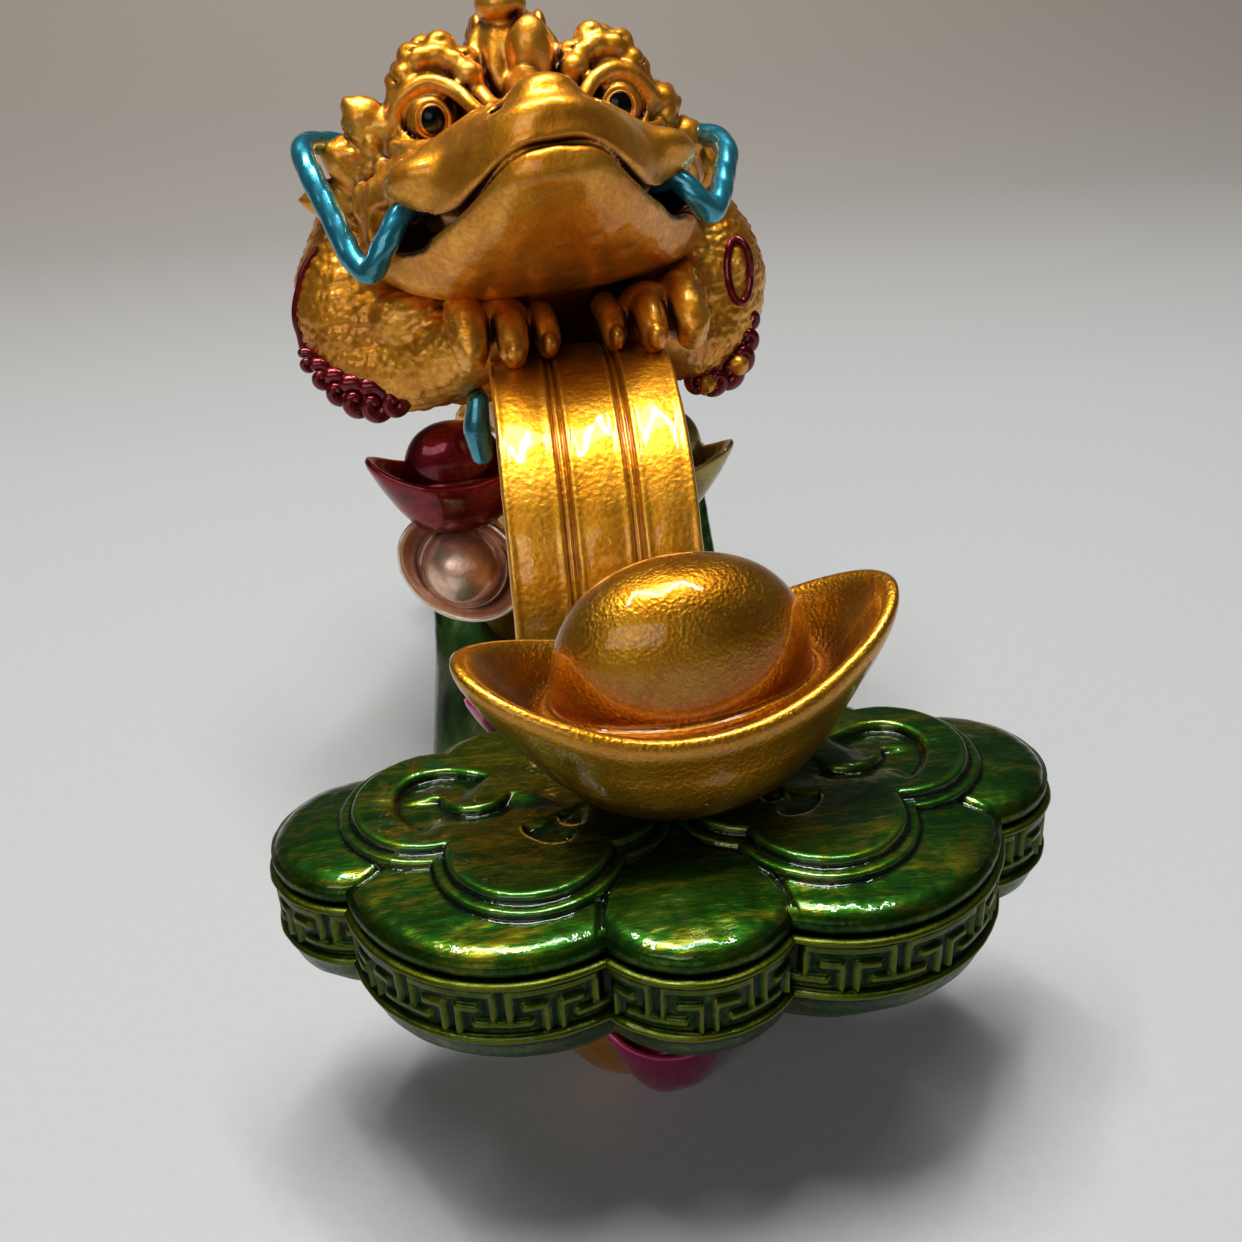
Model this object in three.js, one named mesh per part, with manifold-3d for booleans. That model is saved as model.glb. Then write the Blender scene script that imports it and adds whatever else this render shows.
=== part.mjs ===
// Money toad figure: a painted, lacquered cast figure of a toad crouching on three coins, which stand on a
// ruyi sceptre between boat-shaped ingots. One more ingot is glued on the sceptre's head.
// Millimetres, +Z up, the sceptre's head towards -Y, the underside on Z = 0.

import * as THREE from 'three';
import { mergeVertices } from 'three/addons/utils/BufferGeometryUtils.js';
import Module from 'manifold-3d';

const wasm = await Module();
wasm.setup();

const { Vector2, Vector3, Matrix4, Euler, Quaternion } = THREE;
const radians = THREE.MathUtils.degToRad;
const lerp = THREE.MathUtils.lerp;

// Sceptre head: the lobes of its cloud outline at the ribs, from the front round the right side to the back
const LOBES = [
  { x: 0, y: -9, r: 8.5 },
  { x: 12, y: -2.4, r: 13.2 },
  { x: 23.3, y: 1.5, r: 7.6 },
  { x: 12, y: 6.5, r: 7.5 },
  { x: 0, y: 5.5, r: 9.5 },
];
const HEAD_BOTTOM = 16;
const BAND_BOTTOM = 22.2;
const BAND_HEIGHT = 4;
const RIB_HEIGHT = 0.7;
const BAND_DEPTH = 0.8;
const SLAB_HEIGHT = 2.1;
const PLATEAU_HEIGHT = 1.1;
const GROOVE_WIDTH = 0.8;
const GROOVE_DEPTH = 0.6;

// Sceptre handle: a bent, rounded board that lies on the table under the coins
const HANDLE_WIDTH = 40;
const HANDLE_THICKNESS = 8;
const HANDLE_X = -1.4;
const TAIL_HEIGHT = 19;
const TAIL_Y = 93;
const TAIL_SCALE = 0.72;
const TAIL_TILT = 42;

// Coin stack: three coins on edge, side by side
const COIN_RADIUS = 23;
const COIN_WIDTH = 5.4;
const COIN_COUNT = 3;
const COIN_GROOVE = 0.8;
const COIN_Y = 45;
const COIN_SINK = 2.8;
const COIN_X = -1.5;
const COIN_RIM = 3.2;
const COIN_HOLE = 9;
const COIN_CHAMFER = 0.5;
const COIN_RELIEF = 0.6;

// Large ingot, a piece of its own on the sceptre head
const INGOT_LENGTH = 33;
const INGOT_HEIGHT = 18;
const INGOT_Y = 1;
const INGOT_X = 1.4;
const INGOT_TURN = 7;
const INGOT_LEAN = -3;
const INGOT_FOOT = 0.46;
const INGOT_BREADTH = 0.49;
const GLUE_GAP = 0.3;

// Toad: its forms are given in hundredths of its own width, from where it sits on the coins
const TOAD_WIDTH = 50;
const TOAD_X = -3.5;
const TOAD_TURN = 5;
const HEAD_PITCH = 32;
const ROPE_RADIUS = 1.25;
const LIP_ROLL = 2.4;
const CREST_Y = 31;

// Colours of the metallic paints
const GOLD = 0xc4861a;
const GREEN = 0x1f5a14;

const headTop = BAND_BOTTOM + BAND_HEIGHT + RIB_HEIGHT / 2 + SLAB_HEIGHT;
const plateauTop = headTop + PLATEAU_HEIGHT;
const coinBottom = HANDLE_THICKNESS - COIN_SINK;
const coinMiddle = coinBottom + COIN_RADIUS;
const coinTop = coinMiddle + COIN_RADIUS;
const unit = TOAD_WIDTH / 100;

// A closed geometry becomes a solid for cutting and joining
function solid(geometry) {
  const bare = geometry.index ? geometry.toNonIndexed() : geometry.clone();
  bare.deleteAttribute('normal');
  bare.deleteAttribute('uv');
  const merged = mergeVertices(bare, 1e-4);
  return new wasm.Manifold(new wasm.Mesh({
    numProp: 3,
    vertProperties: new Float32Array(merged.attributes.position.array),
    triVerts: new Uint32Array(merged.index.array),
  }));
}

function joined(solids) {
  return solids.reduce((whole, next) => whole.add(next));
}

// Pockets sealed in between forms that were cast together are solid
function filled(body) {
  return joined(body.decompose().filter((shell) => shell.volume() > 0));
}

function meshOf(name, body, color, roughness) {
  const data = body.getMesh();
  const geometry = new THREE.BufferGeometry();
  geometry.setAttribute('position', new THREE.BufferAttribute(data.vertProperties, 3));
  geometry.setIndex(new THREE.BufferAttribute(data.triVerts, 1));
  geometry.computeVertexNormals();
  const mesh = new THREE.Mesh(geometry, new THREE.MeshStandardMaterial({ color, roughness, metalness: 0.8 }));
  mesh.name = name;
  return mesh;
}

function placing(x, y, z, rx = 0, ry = 0, rz = 0, scale = 1) {
  const turn = new Quaternion().setFromEuler(new Euler(radians(rx), radians(ry), radians(rz), 'ZYX'));
  return new Matrix4().compose(new Vector3(x, y, z), turn, new Vector3(scale, scale, scale));
}

// A skin through rings of equal point counts, closed at both ends by fans to the rings' middles.
// Each ring runs anticlockwise when seen from the last ring.
function loft(rings, matrix = new Matrix4()) {
  const count = rings[0].length;
  const middle = (ring) => ring.reduce((sum, p) => sum.add(p), new Vector3()).divideScalar(count);
  const points = [middle(rings[0]), ...rings.flat(), middle(rings[rings.length - 1])];
  const last = points.length - 1;
  const faces = [];
  for (let i = 0; i < count; i++) {
    const next = (i + 1) % count;
    faces.push(0, 1 + next, 1 + i);
    for (let k = 0; k + 1 < rings.length; k++) {
      const low = 1 + k * count;
      const high = low + count;
      faces.push(low + i, low + next, high + next, low + i, high + next, high + i);
    }
    faces.push(last, last - count + i, last - count + next);
  }
  const geometry = new THREE.BufferGeometry().setFromPoints(points);
  geometry.setIndex(faces);
  return solid(geometry.applyMatrix4(matrix));
}

// A round limb along a smooth curve through stops { at: [x, y, z], r }, with domed ends
function limb(stops, sides, steps, matrix = new Matrix4()) {
  const curve = new THREE.CatmullRomCurve3(stops.map((s) => new Vector3(...s.at)));
  const frames = curve.computeFrenetFrames(steps, false);
  const radiusAt = (t) => {
    const place = t * (stops.length - 1);
    const k = Math.min(Math.floor(place), stops.length - 2);
    return lerp(stops[k].r, stops[k + 1].r, place - k);
  };
  const ring = (center, frame, radius) => Array.from({ length: sides }, (_, i) => {
    const angle = (2 * Math.PI * i) / sides;
    return center.clone()
      .addScaledVector(frames.normals[frame], radius * Math.cos(angle))
      .addScaledVector(frames.binormals[frame], radius * Math.sin(angle));
  });
  const rings = [];
  const first = stops[0].r;
  const last = stops[stops.length - 1].r;
  const dome = 0.6;
  rings.push(ring(curve.getPoint(0).addScaledVector(frames.tangents[0], -dome * first), 0, first * dome));
  for (let k = 0; k <= steps; k++) rings.push(ring(curve.getPoint(k / steps), k, radiusAt(k / steps)));
  rings.push(ring(curve.getPoint(1).addScaledVector(frames.tangents[steps], dome * last), steps, last * dome));
  return loft(rings, matrix);
}

// A ball stretched to three half-sizes
function bulge(at, sizes, matrix = new Matrix4(), around = 14, down = 9, turn = [0, 0, 0]) {
  const place = placing(...at, ...turn).multiply(new Matrix4().makeScale(...sizes));
  const geometry = new THREE.SphereGeometry(1, around, down).applyMatrix4(matrix.clone().multiply(place));
  return solid(geometry);
}

function mirrorX(body) {
  return body.mirror([1, 0, 0]);
}

// Outline of a ring of overlapping round lobes, grown by an offset, with creases where neighbours meet
function lobeOutline(lobes, offset, arcSteps) {
  const circles = lobes.map((lobe) => ({ ...lobe, r: lobe.r + offset }));
  const creases = circles.map((a, i) => {
    const b = circles[(i + 1) % circles.length];
    const apart = Math.hypot(b.x - a.x, b.y - a.y);
    const along = (apart * apart + a.r * a.r - b.r * b.r) / (2 * apart);
    const aside = Math.sqrt(Math.max(a.r * a.r - along * along, 0));
    const ux = (b.x - a.x) / apart;
    const uy = (b.y - a.y) / apart;
    return new Vector2(a.x + ux * along + uy * aside, a.y + uy * along - ux * aside);
  });
  const outline = [];
  circles.forEach((circle, i) => {
    const start = creases[(i + circles.length - 1) % circles.length];
    const end = creases[i];
    const from = Math.atan2(start.y - circle.y, start.x - circle.x);
    let to = Math.atan2(end.y - circle.y, end.x - circle.x);
    if (to < from) to += 2 * Math.PI;
    for (let k = 0; k < arcSteps; k++) {
      const angle = lerp(from, to, k / arcSteps);
      outline.push(new Vector2(circle.x + circle.r * Math.cos(angle), circle.y + circle.r * Math.sin(angle)));
    }
  });
  return outline;
}

// A slab of the head's outline from levels { z, offset, share }, share being its size in plan
function cloudSlab(levels, arcSteps, matrix) {
  const left = LOBES.slice(1, -1).reverse().map((lobe) => ({ ...lobe, x: -lobe.x }));
  return loft(levels.map(({ z, offset, share = 1 }) => lobeOutline([...LOBES, ...left], offset, arcSteps)
    .map((p) => new Vector3(p.x * share, p.y * share, z))), matrix);
}

function sceptreHead() {
  const rib = RIB_HEIGHT / 2;
  const bandTop = BAND_BOTTOM + BAND_HEIGHT;
  const slabBottom = bandTop + rib;
  const edge = SLAB_HEIGHT / 2;
  const arcSteps = 5;
  return cloudSlab([
    { z: HEAD_BOTTOM, offset: -2.2, share: 0.93 },
    { z: lerp(HEAD_BOTTOM, BAND_BOTTOM, 0.35), offset: -1.2 },
    { z: BAND_BOTTOM, offset: 0 },
    { z: BAND_BOTTOM + rib, offset: 0 },
    { z: BAND_BOTTOM + 2 * rib, offset: -BAND_DEPTH },
    { z: bandTop - 2 * rib, offset: -BAND_DEPTH },
    { z: bandTop - rib, offset: 0 },
    { z: bandTop, offset: 0 },
    { z: slabBottom, offset: -1.5 * BAND_DEPTH },
    { z: slabBottom + edge * 0.5, offset: -BAND_DEPTH / 2 },
    { z: headTop - edge * 0.4, offset: -BAND_DEPTH },
    { z: headTop, offset: -2.2, share: 0.92 },
  ], arcSteps);
}

// One half of the raised cloud scroll: its lobes round from the front, and the two curls cut into it
const SCROLL_LOBES = [
  { x: 10.8, y: -4.6, r: 6.2 },
  { x: 18, y: 2.1, r: 6.1 },
  { x: 12.4, y: 5.4, r: 5.2 },
  { x: 6.4, y: 3.6, r: 5 },
  { x: 5.4, y: -1.8, r: 4.4 },
];
const CURLS = [
  { x: 16.4, y: 2, r: 4.1, from: 60, to: 305, shrink: 0.75 },
  { x: 9.6, y: -3.4, r: 2.2, from: 175, to: 400, shrink: 0.5 },
];

function scrollHalf(side) {
  const bevel = 0.4;
  const sunk = 1;
  const slab = new THREE.ExtrudeGeometry(new THREE.Shape(lobeOutline(SCROLL_LOBES, 0, 4)), {
    depth: PLATEAU_HEIGHT - bevel + sunk,
    bevelSize: bevel,
    bevelThickness: bevel,
    bevelSegments: 1,
    bevelOffset: -bevel,
  }).translate(0, 0, headTop - sunk);
  let body = solid(slab);
  for (const { x, y, r, from, to, shrink } of CURLS) {
    const steps = 6;
    const stops = Array.from({ length: steps + 1 }, (_, i) => {
      const angle = radians(lerp(from, to, i / steps));
      const reach = r * lerp(1, shrink, i / steps);
      const lift = plateauTop + GROOVE_WIDTH / 2 - GROOVE_DEPTH;
      return { at: [x + reach * Math.cos(angle), y + reach * Math.sin(angle), lift], r: GROOVE_WIDTH / 2 };
    });
    body = body.subtract(limb(stops, 4, steps));
  }
  return side < 0 ? mirrorX(body) : body;
}

// The handle's middle line, from inside the head, down to the table and up again to the tail
function handleLine() {
  const settled = 0.3;
  const lie = HANDLE_THICKNESS / 2 - settled;
  const under = BAND_BOTTOM - HANDLE_THICKNESS * 0.15;
  const rise = COIN_Y + 24;
  return new THREE.CatmullRomCurve3([
    [0, 4, under],
    [0, 15, under - 0.6],
    [HANDLE_X * 0.3, 24, lerp(lie, under, 0.62)],
    [HANDLE_X * 0.7, 33, lerp(lie, under, 0.14)],
    [HANDLE_X, COIN_Y - 3, lie],
    [HANDLE_X, COIN_Y + 10, lie],
    [HANDLE_X, rise, lie],
    [HANDLE_X, lerp(rise, TAIL_Y, 0.5), lerp(lie, TAIL_HEIGHT, 0.32)],
    [HANDLE_X, TAIL_Y, TAIL_HEIGHT],
  ].map((p) => new Vector3(...p)));
}

function handle() {
  const line = handleLine();
  const steps = 14;
  const sides = 12;
  const squareness = 0.45;
  const rings = [];
  for (let k = 0; k <= steps; k++) {
    const t = k / steps;
    const center = line.getPointAt(t);
    const along = line.getTangentAt(t);
    const across = new Vector3(1, 0, 0);
    const up = new Vector3().crossVectors(across, along).normalize();
    const halfWidth = (HANDLE_WIDTH / 2) * (t < 0.15 ? lerp(0.72, 1, t / 0.15) : 1);
    rings.push(Array.from({ length: sides }, (_, i) => {
      const angle = (2 * Math.PI * (i + 0.5)) / sides;
      const c = Math.cos(angle);
      const s = Math.sin(angle);
      const px = halfWidth * Math.sign(c) * Math.abs(c) ** squareness;
      const pz = (HANDLE_THICKNESS / 2) * Math.sign(s) * Math.abs(s) ** squareness;
      return center.clone().addScaledVector(across, -px).addScaledVector(up, pz);
    }));
  }
  return loft(rings);
}

// The tail's end is a smaller, plainer cloud, tilted with the handle
function tail() {
  const half = HANDLE_THICKNESS * 0.62;
  const place = placing(HANDLE_X, TAIL_Y, TAIL_HEIGHT, TAIL_TILT, 0, 180, TAIL_SCALE);
  return cloudSlab([
    { z: -half, offset: -2, share: 0.86 },
    { z: -half * 0.4, offset: -0.4 },
    { z: half * 0.5, offset: -0.4 },
    { z: half, offset: -2.2, share: 0.9 },
  ], 3, place);
}

// Profile of the stack turned about its own axis: rims, faces and the grooves between coins
function coins() {
  const half = (COIN_WIDTH * COIN_COUNT + COIN_GROOVE * (COIN_COUNT - 1)) / 2;
  const dish = COIN_RADIUS - COIN_RIM;
  const profile = [
    [0, COIN_RELIEF - half],
    [dish - COIN_CHAMFER, COIN_RELIEF - half],
    [dish, -half],
    [COIN_RADIUS - COIN_CHAMFER, -half],
  ];
  for (let k = 0; k < COIN_COUNT; k++) {
    const start = -half + k * (COIN_WIDTH + COIN_GROOVE);
    if (k > 0) profile.push([COIN_RADIUS - 2 * COIN_CHAMFER, start - COIN_GROOVE / 2]);
    profile.push([COIN_RADIUS, start + COIN_CHAMFER], [COIN_RADIUS, start + COIN_WIDTH - COIN_CHAMFER]);
  }
  profile.push(
    [COIN_RADIUS - COIN_CHAMFER, half],
    [dish, half],
    [dish - COIN_CHAMFER, half - COIN_RELIEF],
    [0, half - COIN_RELIEF],
  );
  const turned = new THREE.LatheGeometry(profile.map((p) => new Vector2(...p)), 30);
  turned.rotateZ(-Math.PI / 2).translate(COIN_X, COIN_Y, coinMiddle);
  let stack = solid(turned);
  for (const side of [-1, 1]) {
    const hole = new THREE.BoxGeometry(4 * COIN_RELIEF, COIN_HOLE, COIN_HOLE);
    stack = stack.subtract(solid(hole.translate(COIN_X + side * (half - COIN_RELIEF), COIN_Y, coinMiddle)));
  }
  return stack;
}

// A boat-shaped ingot: a hull flaring from its foot to a rim that rises to two tips, and a dome on its deck
function ingot(length, height, sides, matrix, breadth = INGOT_BREADTH) {
  const half = length / 2;
  const depth = half * breadth;
  const rimLow = height * 0.49;
  const tipRise = height * 0.25;
  const deck = height * 0.46;
  const ring = (a, b, lift, rise) => Array.from({ length: sides }, (_, i) => {
    const angle = (2 * Math.PI * i) / sides;
    const reach = Math.abs(Math.cos(angle));
    return new Vector3(a * Math.cos(angle), b * Math.sin(angle), lift + rise * reach ** 2.2);
  });
  return loft([
    ring(half * INGOT_FOOT, depth * 0.5, 0, 0),
    ring(half * 0.7, depth * 0.76, height * 0.16, tipRise * 0.3),
    ring(half, depth, rimLow - height * 0.04, tipRise),
    ring(half * 0.9, depth * 0.84, rimLow, tipRise * 0.75),
    ring(half * 0.62, depth * 0.74, deck, 0),
    ring(half * 0.58, depth * 0.7, lerp(deck, height, 0.35), 0),
    ring(half * 0.42, depth * 0.52, lerp(deck, height, 0.8), 0),
    ring(half * 0.18, depth * 0.24, lerp(deck, height, 0.97), 0),
  ], matrix);
}

// The treasure cast with the sceptre: what carries its head, and the heap beside and behind the coins
function treasure() {
  const sides = 10;
  const round = 0.8;
  const sunk = 1.5;
  const left = COIN_X - (COIN_WIDTH * COIN_COUNT) / 2;
  const right = COIN_X + (COIN_WIDTH * COIN_COUNT) / 2;
  const top = HANDLE_THICKNESS;
  const back = COIN_Y + COIN_RADIUS;
  const facing = placing(left - 6.4, COIN_Y + 20.4, top + 11.5, 66).multiply(placing(0, 0, 0, 0, 0, -34));
  return [
    ingot(21, HEAD_BOTTOM + sunk, sides, placing(-0.8, 3.2, 0)),
    ingot(13.5, 12, sides, placing(-0.6, -0.6, 0, 0, 0, 8)),
    ingot(18, 9, sides, placing(-7, 23.5, 17.5, -24)),
    ingot(16, 12, sides, facing, round),
    ingot(20, 12.6, sides, placing(left - 6, COIN_Y + 15, top + 19.5, 0, 0, 8)),
    ingot(17, 13, sides, placing(right + 1.5, COIN_Y + 17, top + 18, 0, 6, -14)),
    ingot(19, 13, sides, placing(right + 3, COIN_Y + 14, top - 1, 0, 0, -20)),
    ingot(24, 17, sides, placing(HANDLE_X - 7.5, back + 6, top - 3, -8, 0, 82)),
    ingot(22, 15, sides, placing(HANDLE_X + 8, back + 6, top - 3, -6, 0, -80)),
    ingot(24, 17, sides, placing(HANDLE_X, back + 1, top + 9, 0, 0, 6)),
  ];
}

function toadPlace() {
  return placing(TOAD_X, COIN_Y, coinTop, 0, 0, TOAD_TURN, unit);
}

// The head's own frame: x across, y back along the mouth line, z away from the jaw
function headPlace() {
  return toadPlace().multiply(placing(0, 6, 26, -HEAD_PITCH));
}

// Sections across the head from lip to neck: half-width, height above and depth below the mouth line
const HEAD_SECTIONS = [
  { y: -29, w: 5, up: 6, down: 2 },
  { y: -26, w: 11, up: 10, down: 6 },
  { y: -19, w: 18, up: 13, down: 11 },
  { y: -10, w: 23.5, up: 17, down: 15 },
  { y: 0, w: 28, up: 22, down: 17 },
  { y: 10, w: 34, up: 26, down: 17 },
  { y: 20, w: 35, up: 27, down: 15 },
  { y: 30, w: 29, up: 24, down: 12 },
];

function toadHead() {
  const place = headPlace();
  const sides = 14;
  const ring = (section, share, lip, squareness, height) => Array.from({ length: sides }, (_, i) => {
    const angle = (2 * Math.PI * i) / sides;
    const c = Math.cos(angle);
    const s = Math.sin(angle);
    const roll = lip * Math.exp(-((s / 0.4) ** 2));
    const width = (section.w * share + roll) * Math.sign(c) * Math.abs(c) ** squareness;
    return new Vector3(width, section.y - roll, height(section, s));
  });
  const skull = (section, s) => (s > 0 ? 2 + section.up * s ** 0.9 : 2 + 2 * s);
  const chin = (section, s) => (s < 0 ? section.down * s - 1 : s);
  const upper = HEAD_SECTIONS.map((section) => ring(section, 1, LIP_ROLL, 0.8, skull)).reverse();
  const jaw = HEAD_SECTIONS.map((section) => ring(section, 0.96, 0, 0.75, chin)).reverse();
  return [loft(upper, place), loft(jaw, place)];
}

function toadFace() {
  const place = headPlace();
  const parts = [
    bulge([0, -22, 12], [6, 7, 5], place, 8, 5),
    limb([{ at: [0, -20, 14], r: 3 }, { at: [0, -8, 22], r: 3.5 }, { at: [0, 4, 30], r: 4 }], 6, 3, place),
  ];
  const right = [
    bulge([18.4, 6, 22], [7.5, 7.5, 7.5], place, 8, 5),
    bulge([18.2, 1.6, 23.6], [5, 5, 5], place, 8, 5),
    limb([
      { at: [6, -6, 20], r: 2.4 },
      { at: [10, -3, 27], r: 3.2 },
      { at: [15, 2, 32], r: 3.6 },
      { at: [20, 5, 33], r: 3.4 },
      { at: [24, 7, 29.5], r: 2.6 },
    ], 5, 5, place),
    bulge([16, 2, 35], [4.4, 4, 4], place, 6, 4),
  ];
  const toad = toadPlace();
  const tips = [
    { at: [32, 22, 45], base: [25, 24, 36] },
    { at: [39.5, 24, 38], base: [29, 25, 31] },
    { at: [45.5, 27, 29], base: [31, 27, 25] },
  ];
  for (const { at, base } of tips) {
    right.push(limb([{ at: base, r: 6 }, { at, r: 1.2 }], 5, 2, toad));
  }
  return { middle: parts, right };
}

function toadCrest() {
  const toad = toadPlace();
  return [
    bulge([0, CREST_Y, 48], [7.6, 12, 15], toad, 10, 7),
    bulge([0, CREST_Y + 13, 54], [6.6, 10, 12.6], toad, 8, 6),
    bulge([0, CREST_Y + 27, 46], [5.6, 9, 12], toad, 8, 6),
  ];
}

function toadBody() {
  const toad = toadPlace();
  return [
    limb([
      { at: [0, 18, 20], r: 24 },
      { at: [0, 42, 22], r: 29 },
      { at: [0, 66, 4], r: 27 },
      { at: [0, 84, -14], r: 18 },
    ], 12, 6, toad),
    bulge([0, 20, 8], [20, 16, 13], toad, 10, 6),
  ];
}

// A foreleg: shoulder, elbow hanging beside the coins, forearm back in to three round toes
function foreleg() {
  const toad = toadPlace();
  const parts = [
    limb([
      { at: [31, 34, 16], r: 14 },
      { at: [37, 28, 5], r: 13.5 },
      { at: [36, 22, -4], r: 11 },
      { at: [30, 14, -4], r: 9 },
      { at: [20, 6, 2], r: 8 },
      { at: [13.5, 2, 6], r: 7 },
    ], 8, 7, toad),
  ];
  for (const [x, reach] of [[21, -7], [13, -10], [5.5, -7]]) {
    parts.push(limb([
      { at: [x, reach + 10, 9], r: 4.6 },
      { at: [x, reach + 3, 7.5], r: 4.6 },
      { at: [x, reach, 3], r: 4 },
    ], 5, 3, toad));
  }
  for (const [x, z] of [[44, -5], [38.5, -11], [30, -12.5]]) {
    parts.push(limb([
      { at: [x - 5, 20, z + 7], r: 6 },
      { at: [x - 1, 17, z + 1], r: 4.6 },
      { at: [x - 1.5, 13.5, z - 1.5], r: 2.4 },
    ], 4, 3, toad));
  }
  return parts;
}

// The single hind leg of the three-legged toad, folded under its back end on the heap
function hindLeg() {
  const toad = toadPlace();
  const parts = [
    bulge([0, 78, -14], [22, 17, 20], toad, 10, 6),
    limb([{ at: [0, 80, -20], r: 13 }, { at: [0, 88, -34], r: 10 }, { at: [0, 97, -43], r: 8 }], 8, 3, toad),
  ];
  for (const x of [-11, 0, 11]) {
    parts.push(limb([
      { at: [x * 0.5, 96, -43], r: 5 },
      { at: [x, 104, -46], r: 4.8 },
      { at: [x * 1.15, 109, -50], r: 3.8 },
    ], 5, 2, toad));
  }
  return parts;
}

// The cord through a corner of the mouth, hanging in a loop and running back over the shoulder
function rope() {
  const toad = toadPlace();
  const r = ROPE_RADIUS / unit;
  const line = [
    [22, 4, 28],
    [27.5, -2, 28],
    [31, -4, 22],
    [34, 1, 20],
    [37, 8, 28],
    [41.5, 17, 37.5],
    [39, 28, 40],
    [31, 40, 36],
  ];
  return limb(line.map((at) => ({ at, r })), 5, 12, toad);
}

function toad() {
  const face = toadFace();
  const middle = [...toadHead(), ...face.middle, ...toadCrest(), ...toadBody(), ...hindLeg()];
  const rightSide = joined([...face.right, ...foreleg(), rope()]);
  const place = toadPlace();
  const flip = place.clone().multiply(new Matrix4().makeScale(-1, 1, 1)).multiply(place.clone().invert());
  return joined([...middle, rightSide, rightSide.transform(flip.elements)]);
}

const footReach = INGOT_FOOT * (INGOT_LENGTH / 2) * Math.sin(radians(Math.abs(INGOT_LEAN)));
const foot = placing(INGOT_X, INGOT_Y, plateauTop + GLUE_GAP + footReach, 0, INGOT_LEAN, INGOT_TURN);
const largeIngot = ingot(INGOT_LENGTH, INGOT_HEIGHT, 24, foot);

const below = solid(new THREE.BoxGeometry(40 * HANDLE_WIDTH, 40 * HANDLE_WIDTH, HANDLE_WIDTH)
  .translate(0, 0, -HANDLE_WIDTH / 2));
const sceptre = joined([sceptreHead(), scrollHalf(1), scrollHalf(-1), handle(), tail()]);
const figure = filled(joined([sceptre, coins(), ...treasure(), toad()]).subtract(below));

const group = new THREE.Group();
group.add(meshOf('toad_on_sceptre', figure, GREEN, 0.25));
group.add(meshOf('large_ingot', largeIngot, GOLD, 0.3));

const box = new THREE.Box3().setFromObject(group);
group.position.set(-(box.min.x + box.max.x) / 2, -(box.min.y + box.max.y) / 2, -box.min.z);

export default group;
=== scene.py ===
"""Money toad figure: a painted and lacquered casting of a toad on coins and a ruyi sceptre.

The pieces dress the CAD frame. Lengths are millimetres in the sceptre head's own frame, and become metres
in the row's frame when a piece is made.
"""

import bpy
import numpy as np
from mathutils import Matrix, Vector


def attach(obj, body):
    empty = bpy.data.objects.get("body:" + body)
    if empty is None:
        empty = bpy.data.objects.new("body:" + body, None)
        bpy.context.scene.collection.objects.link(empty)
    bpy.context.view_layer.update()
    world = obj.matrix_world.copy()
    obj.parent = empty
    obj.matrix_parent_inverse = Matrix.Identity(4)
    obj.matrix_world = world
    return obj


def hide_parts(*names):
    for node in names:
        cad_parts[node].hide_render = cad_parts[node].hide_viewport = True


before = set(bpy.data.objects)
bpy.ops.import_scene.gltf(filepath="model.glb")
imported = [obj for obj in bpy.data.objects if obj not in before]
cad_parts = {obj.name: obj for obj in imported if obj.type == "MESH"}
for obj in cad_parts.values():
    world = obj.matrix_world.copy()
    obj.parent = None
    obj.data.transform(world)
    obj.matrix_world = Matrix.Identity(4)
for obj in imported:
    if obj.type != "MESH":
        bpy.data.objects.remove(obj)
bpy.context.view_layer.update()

MM = 0.001
ROW_SHIFT = np.array([0.0, -42.887, 0.0])
FIGURE = "toad_on_sceptre"

# Photograph: focal length in pixels of its 1242-pixel frame, the camera's place and its angles in degrees
PHOTO_SIZE = 1242.0
PHOTO_FOCAL = 1245.0
CAMERA_AT = (-10.0, -77.3, 85.6)
CAMERA_TURN, CAMERA_TILT, CAMERA_ROLL = -5.3, 28.0, -3.3

# Sceptre head
LOBES = [(0, -9, 8.5), (12, -2.4, 13.2), (23.3, 1.5, 7.6), (12, 6.5, 7.5), (0, 5.5, 9.5)]
HEAD_BOTTOM, BAND_BOTTOM, BAND_HEIGHT = 16.0, 22.2, 4.0
RIB_HEIGHT = 0.7
SLAB_HEIGHT, PLATEAU_HEIGHT = 2.1, 1.1
BAND_TOP = BAND_BOTTOM + BAND_HEIGHT
HEAD_TOP = BAND_TOP + RIB_HEIGHT / 2 + SLAB_HEIGHT
PLATEAU_TOP = HEAD_TOP + PLATEAU_HEIGHT
SCROLL_LOBES = [(10.8, -4.6, 6.2), (18, 2.1, 6.1), (12.4, 5.4, 5.2), (6.4, 3.6, 5), (5.4, -1.8, 4.4)]

# Handle and tail
HANDLE_WIDTH, HANDLE_THICKNESS, HANDLE_X = 40.0, 8.0, -1.4
TAIL_HEIGHT, TAIL_Y, TAIL_SCALE, TAIL_TILT, TAIL_TRIM = 19.0, 93.0, 0.72, 42.0, -1.45

# Coins
COIN_RADIUS, COIN_WIDTH, COIN_COUNT, COIN_GROOVE = 23.0, 5.4, 3, 0.8
COIN_X, COIN_Y, COIN_SINK, COIN_RIM, COIN_HOLE = -1.5, 45.0, 2.8, 3.2, 9.0
COIN_MIDDLE = HANDLE_THICKNESS - COIN_SINK + COIN_RADIUS
COIN_TOP = COIN_MIDDLE + COIN_RADIUS
STACK_HALF = (COIN_WIDTH * COIN_COUNT + COIN_GROOVE * (COIN_COUNT - 1)) / 2

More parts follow.
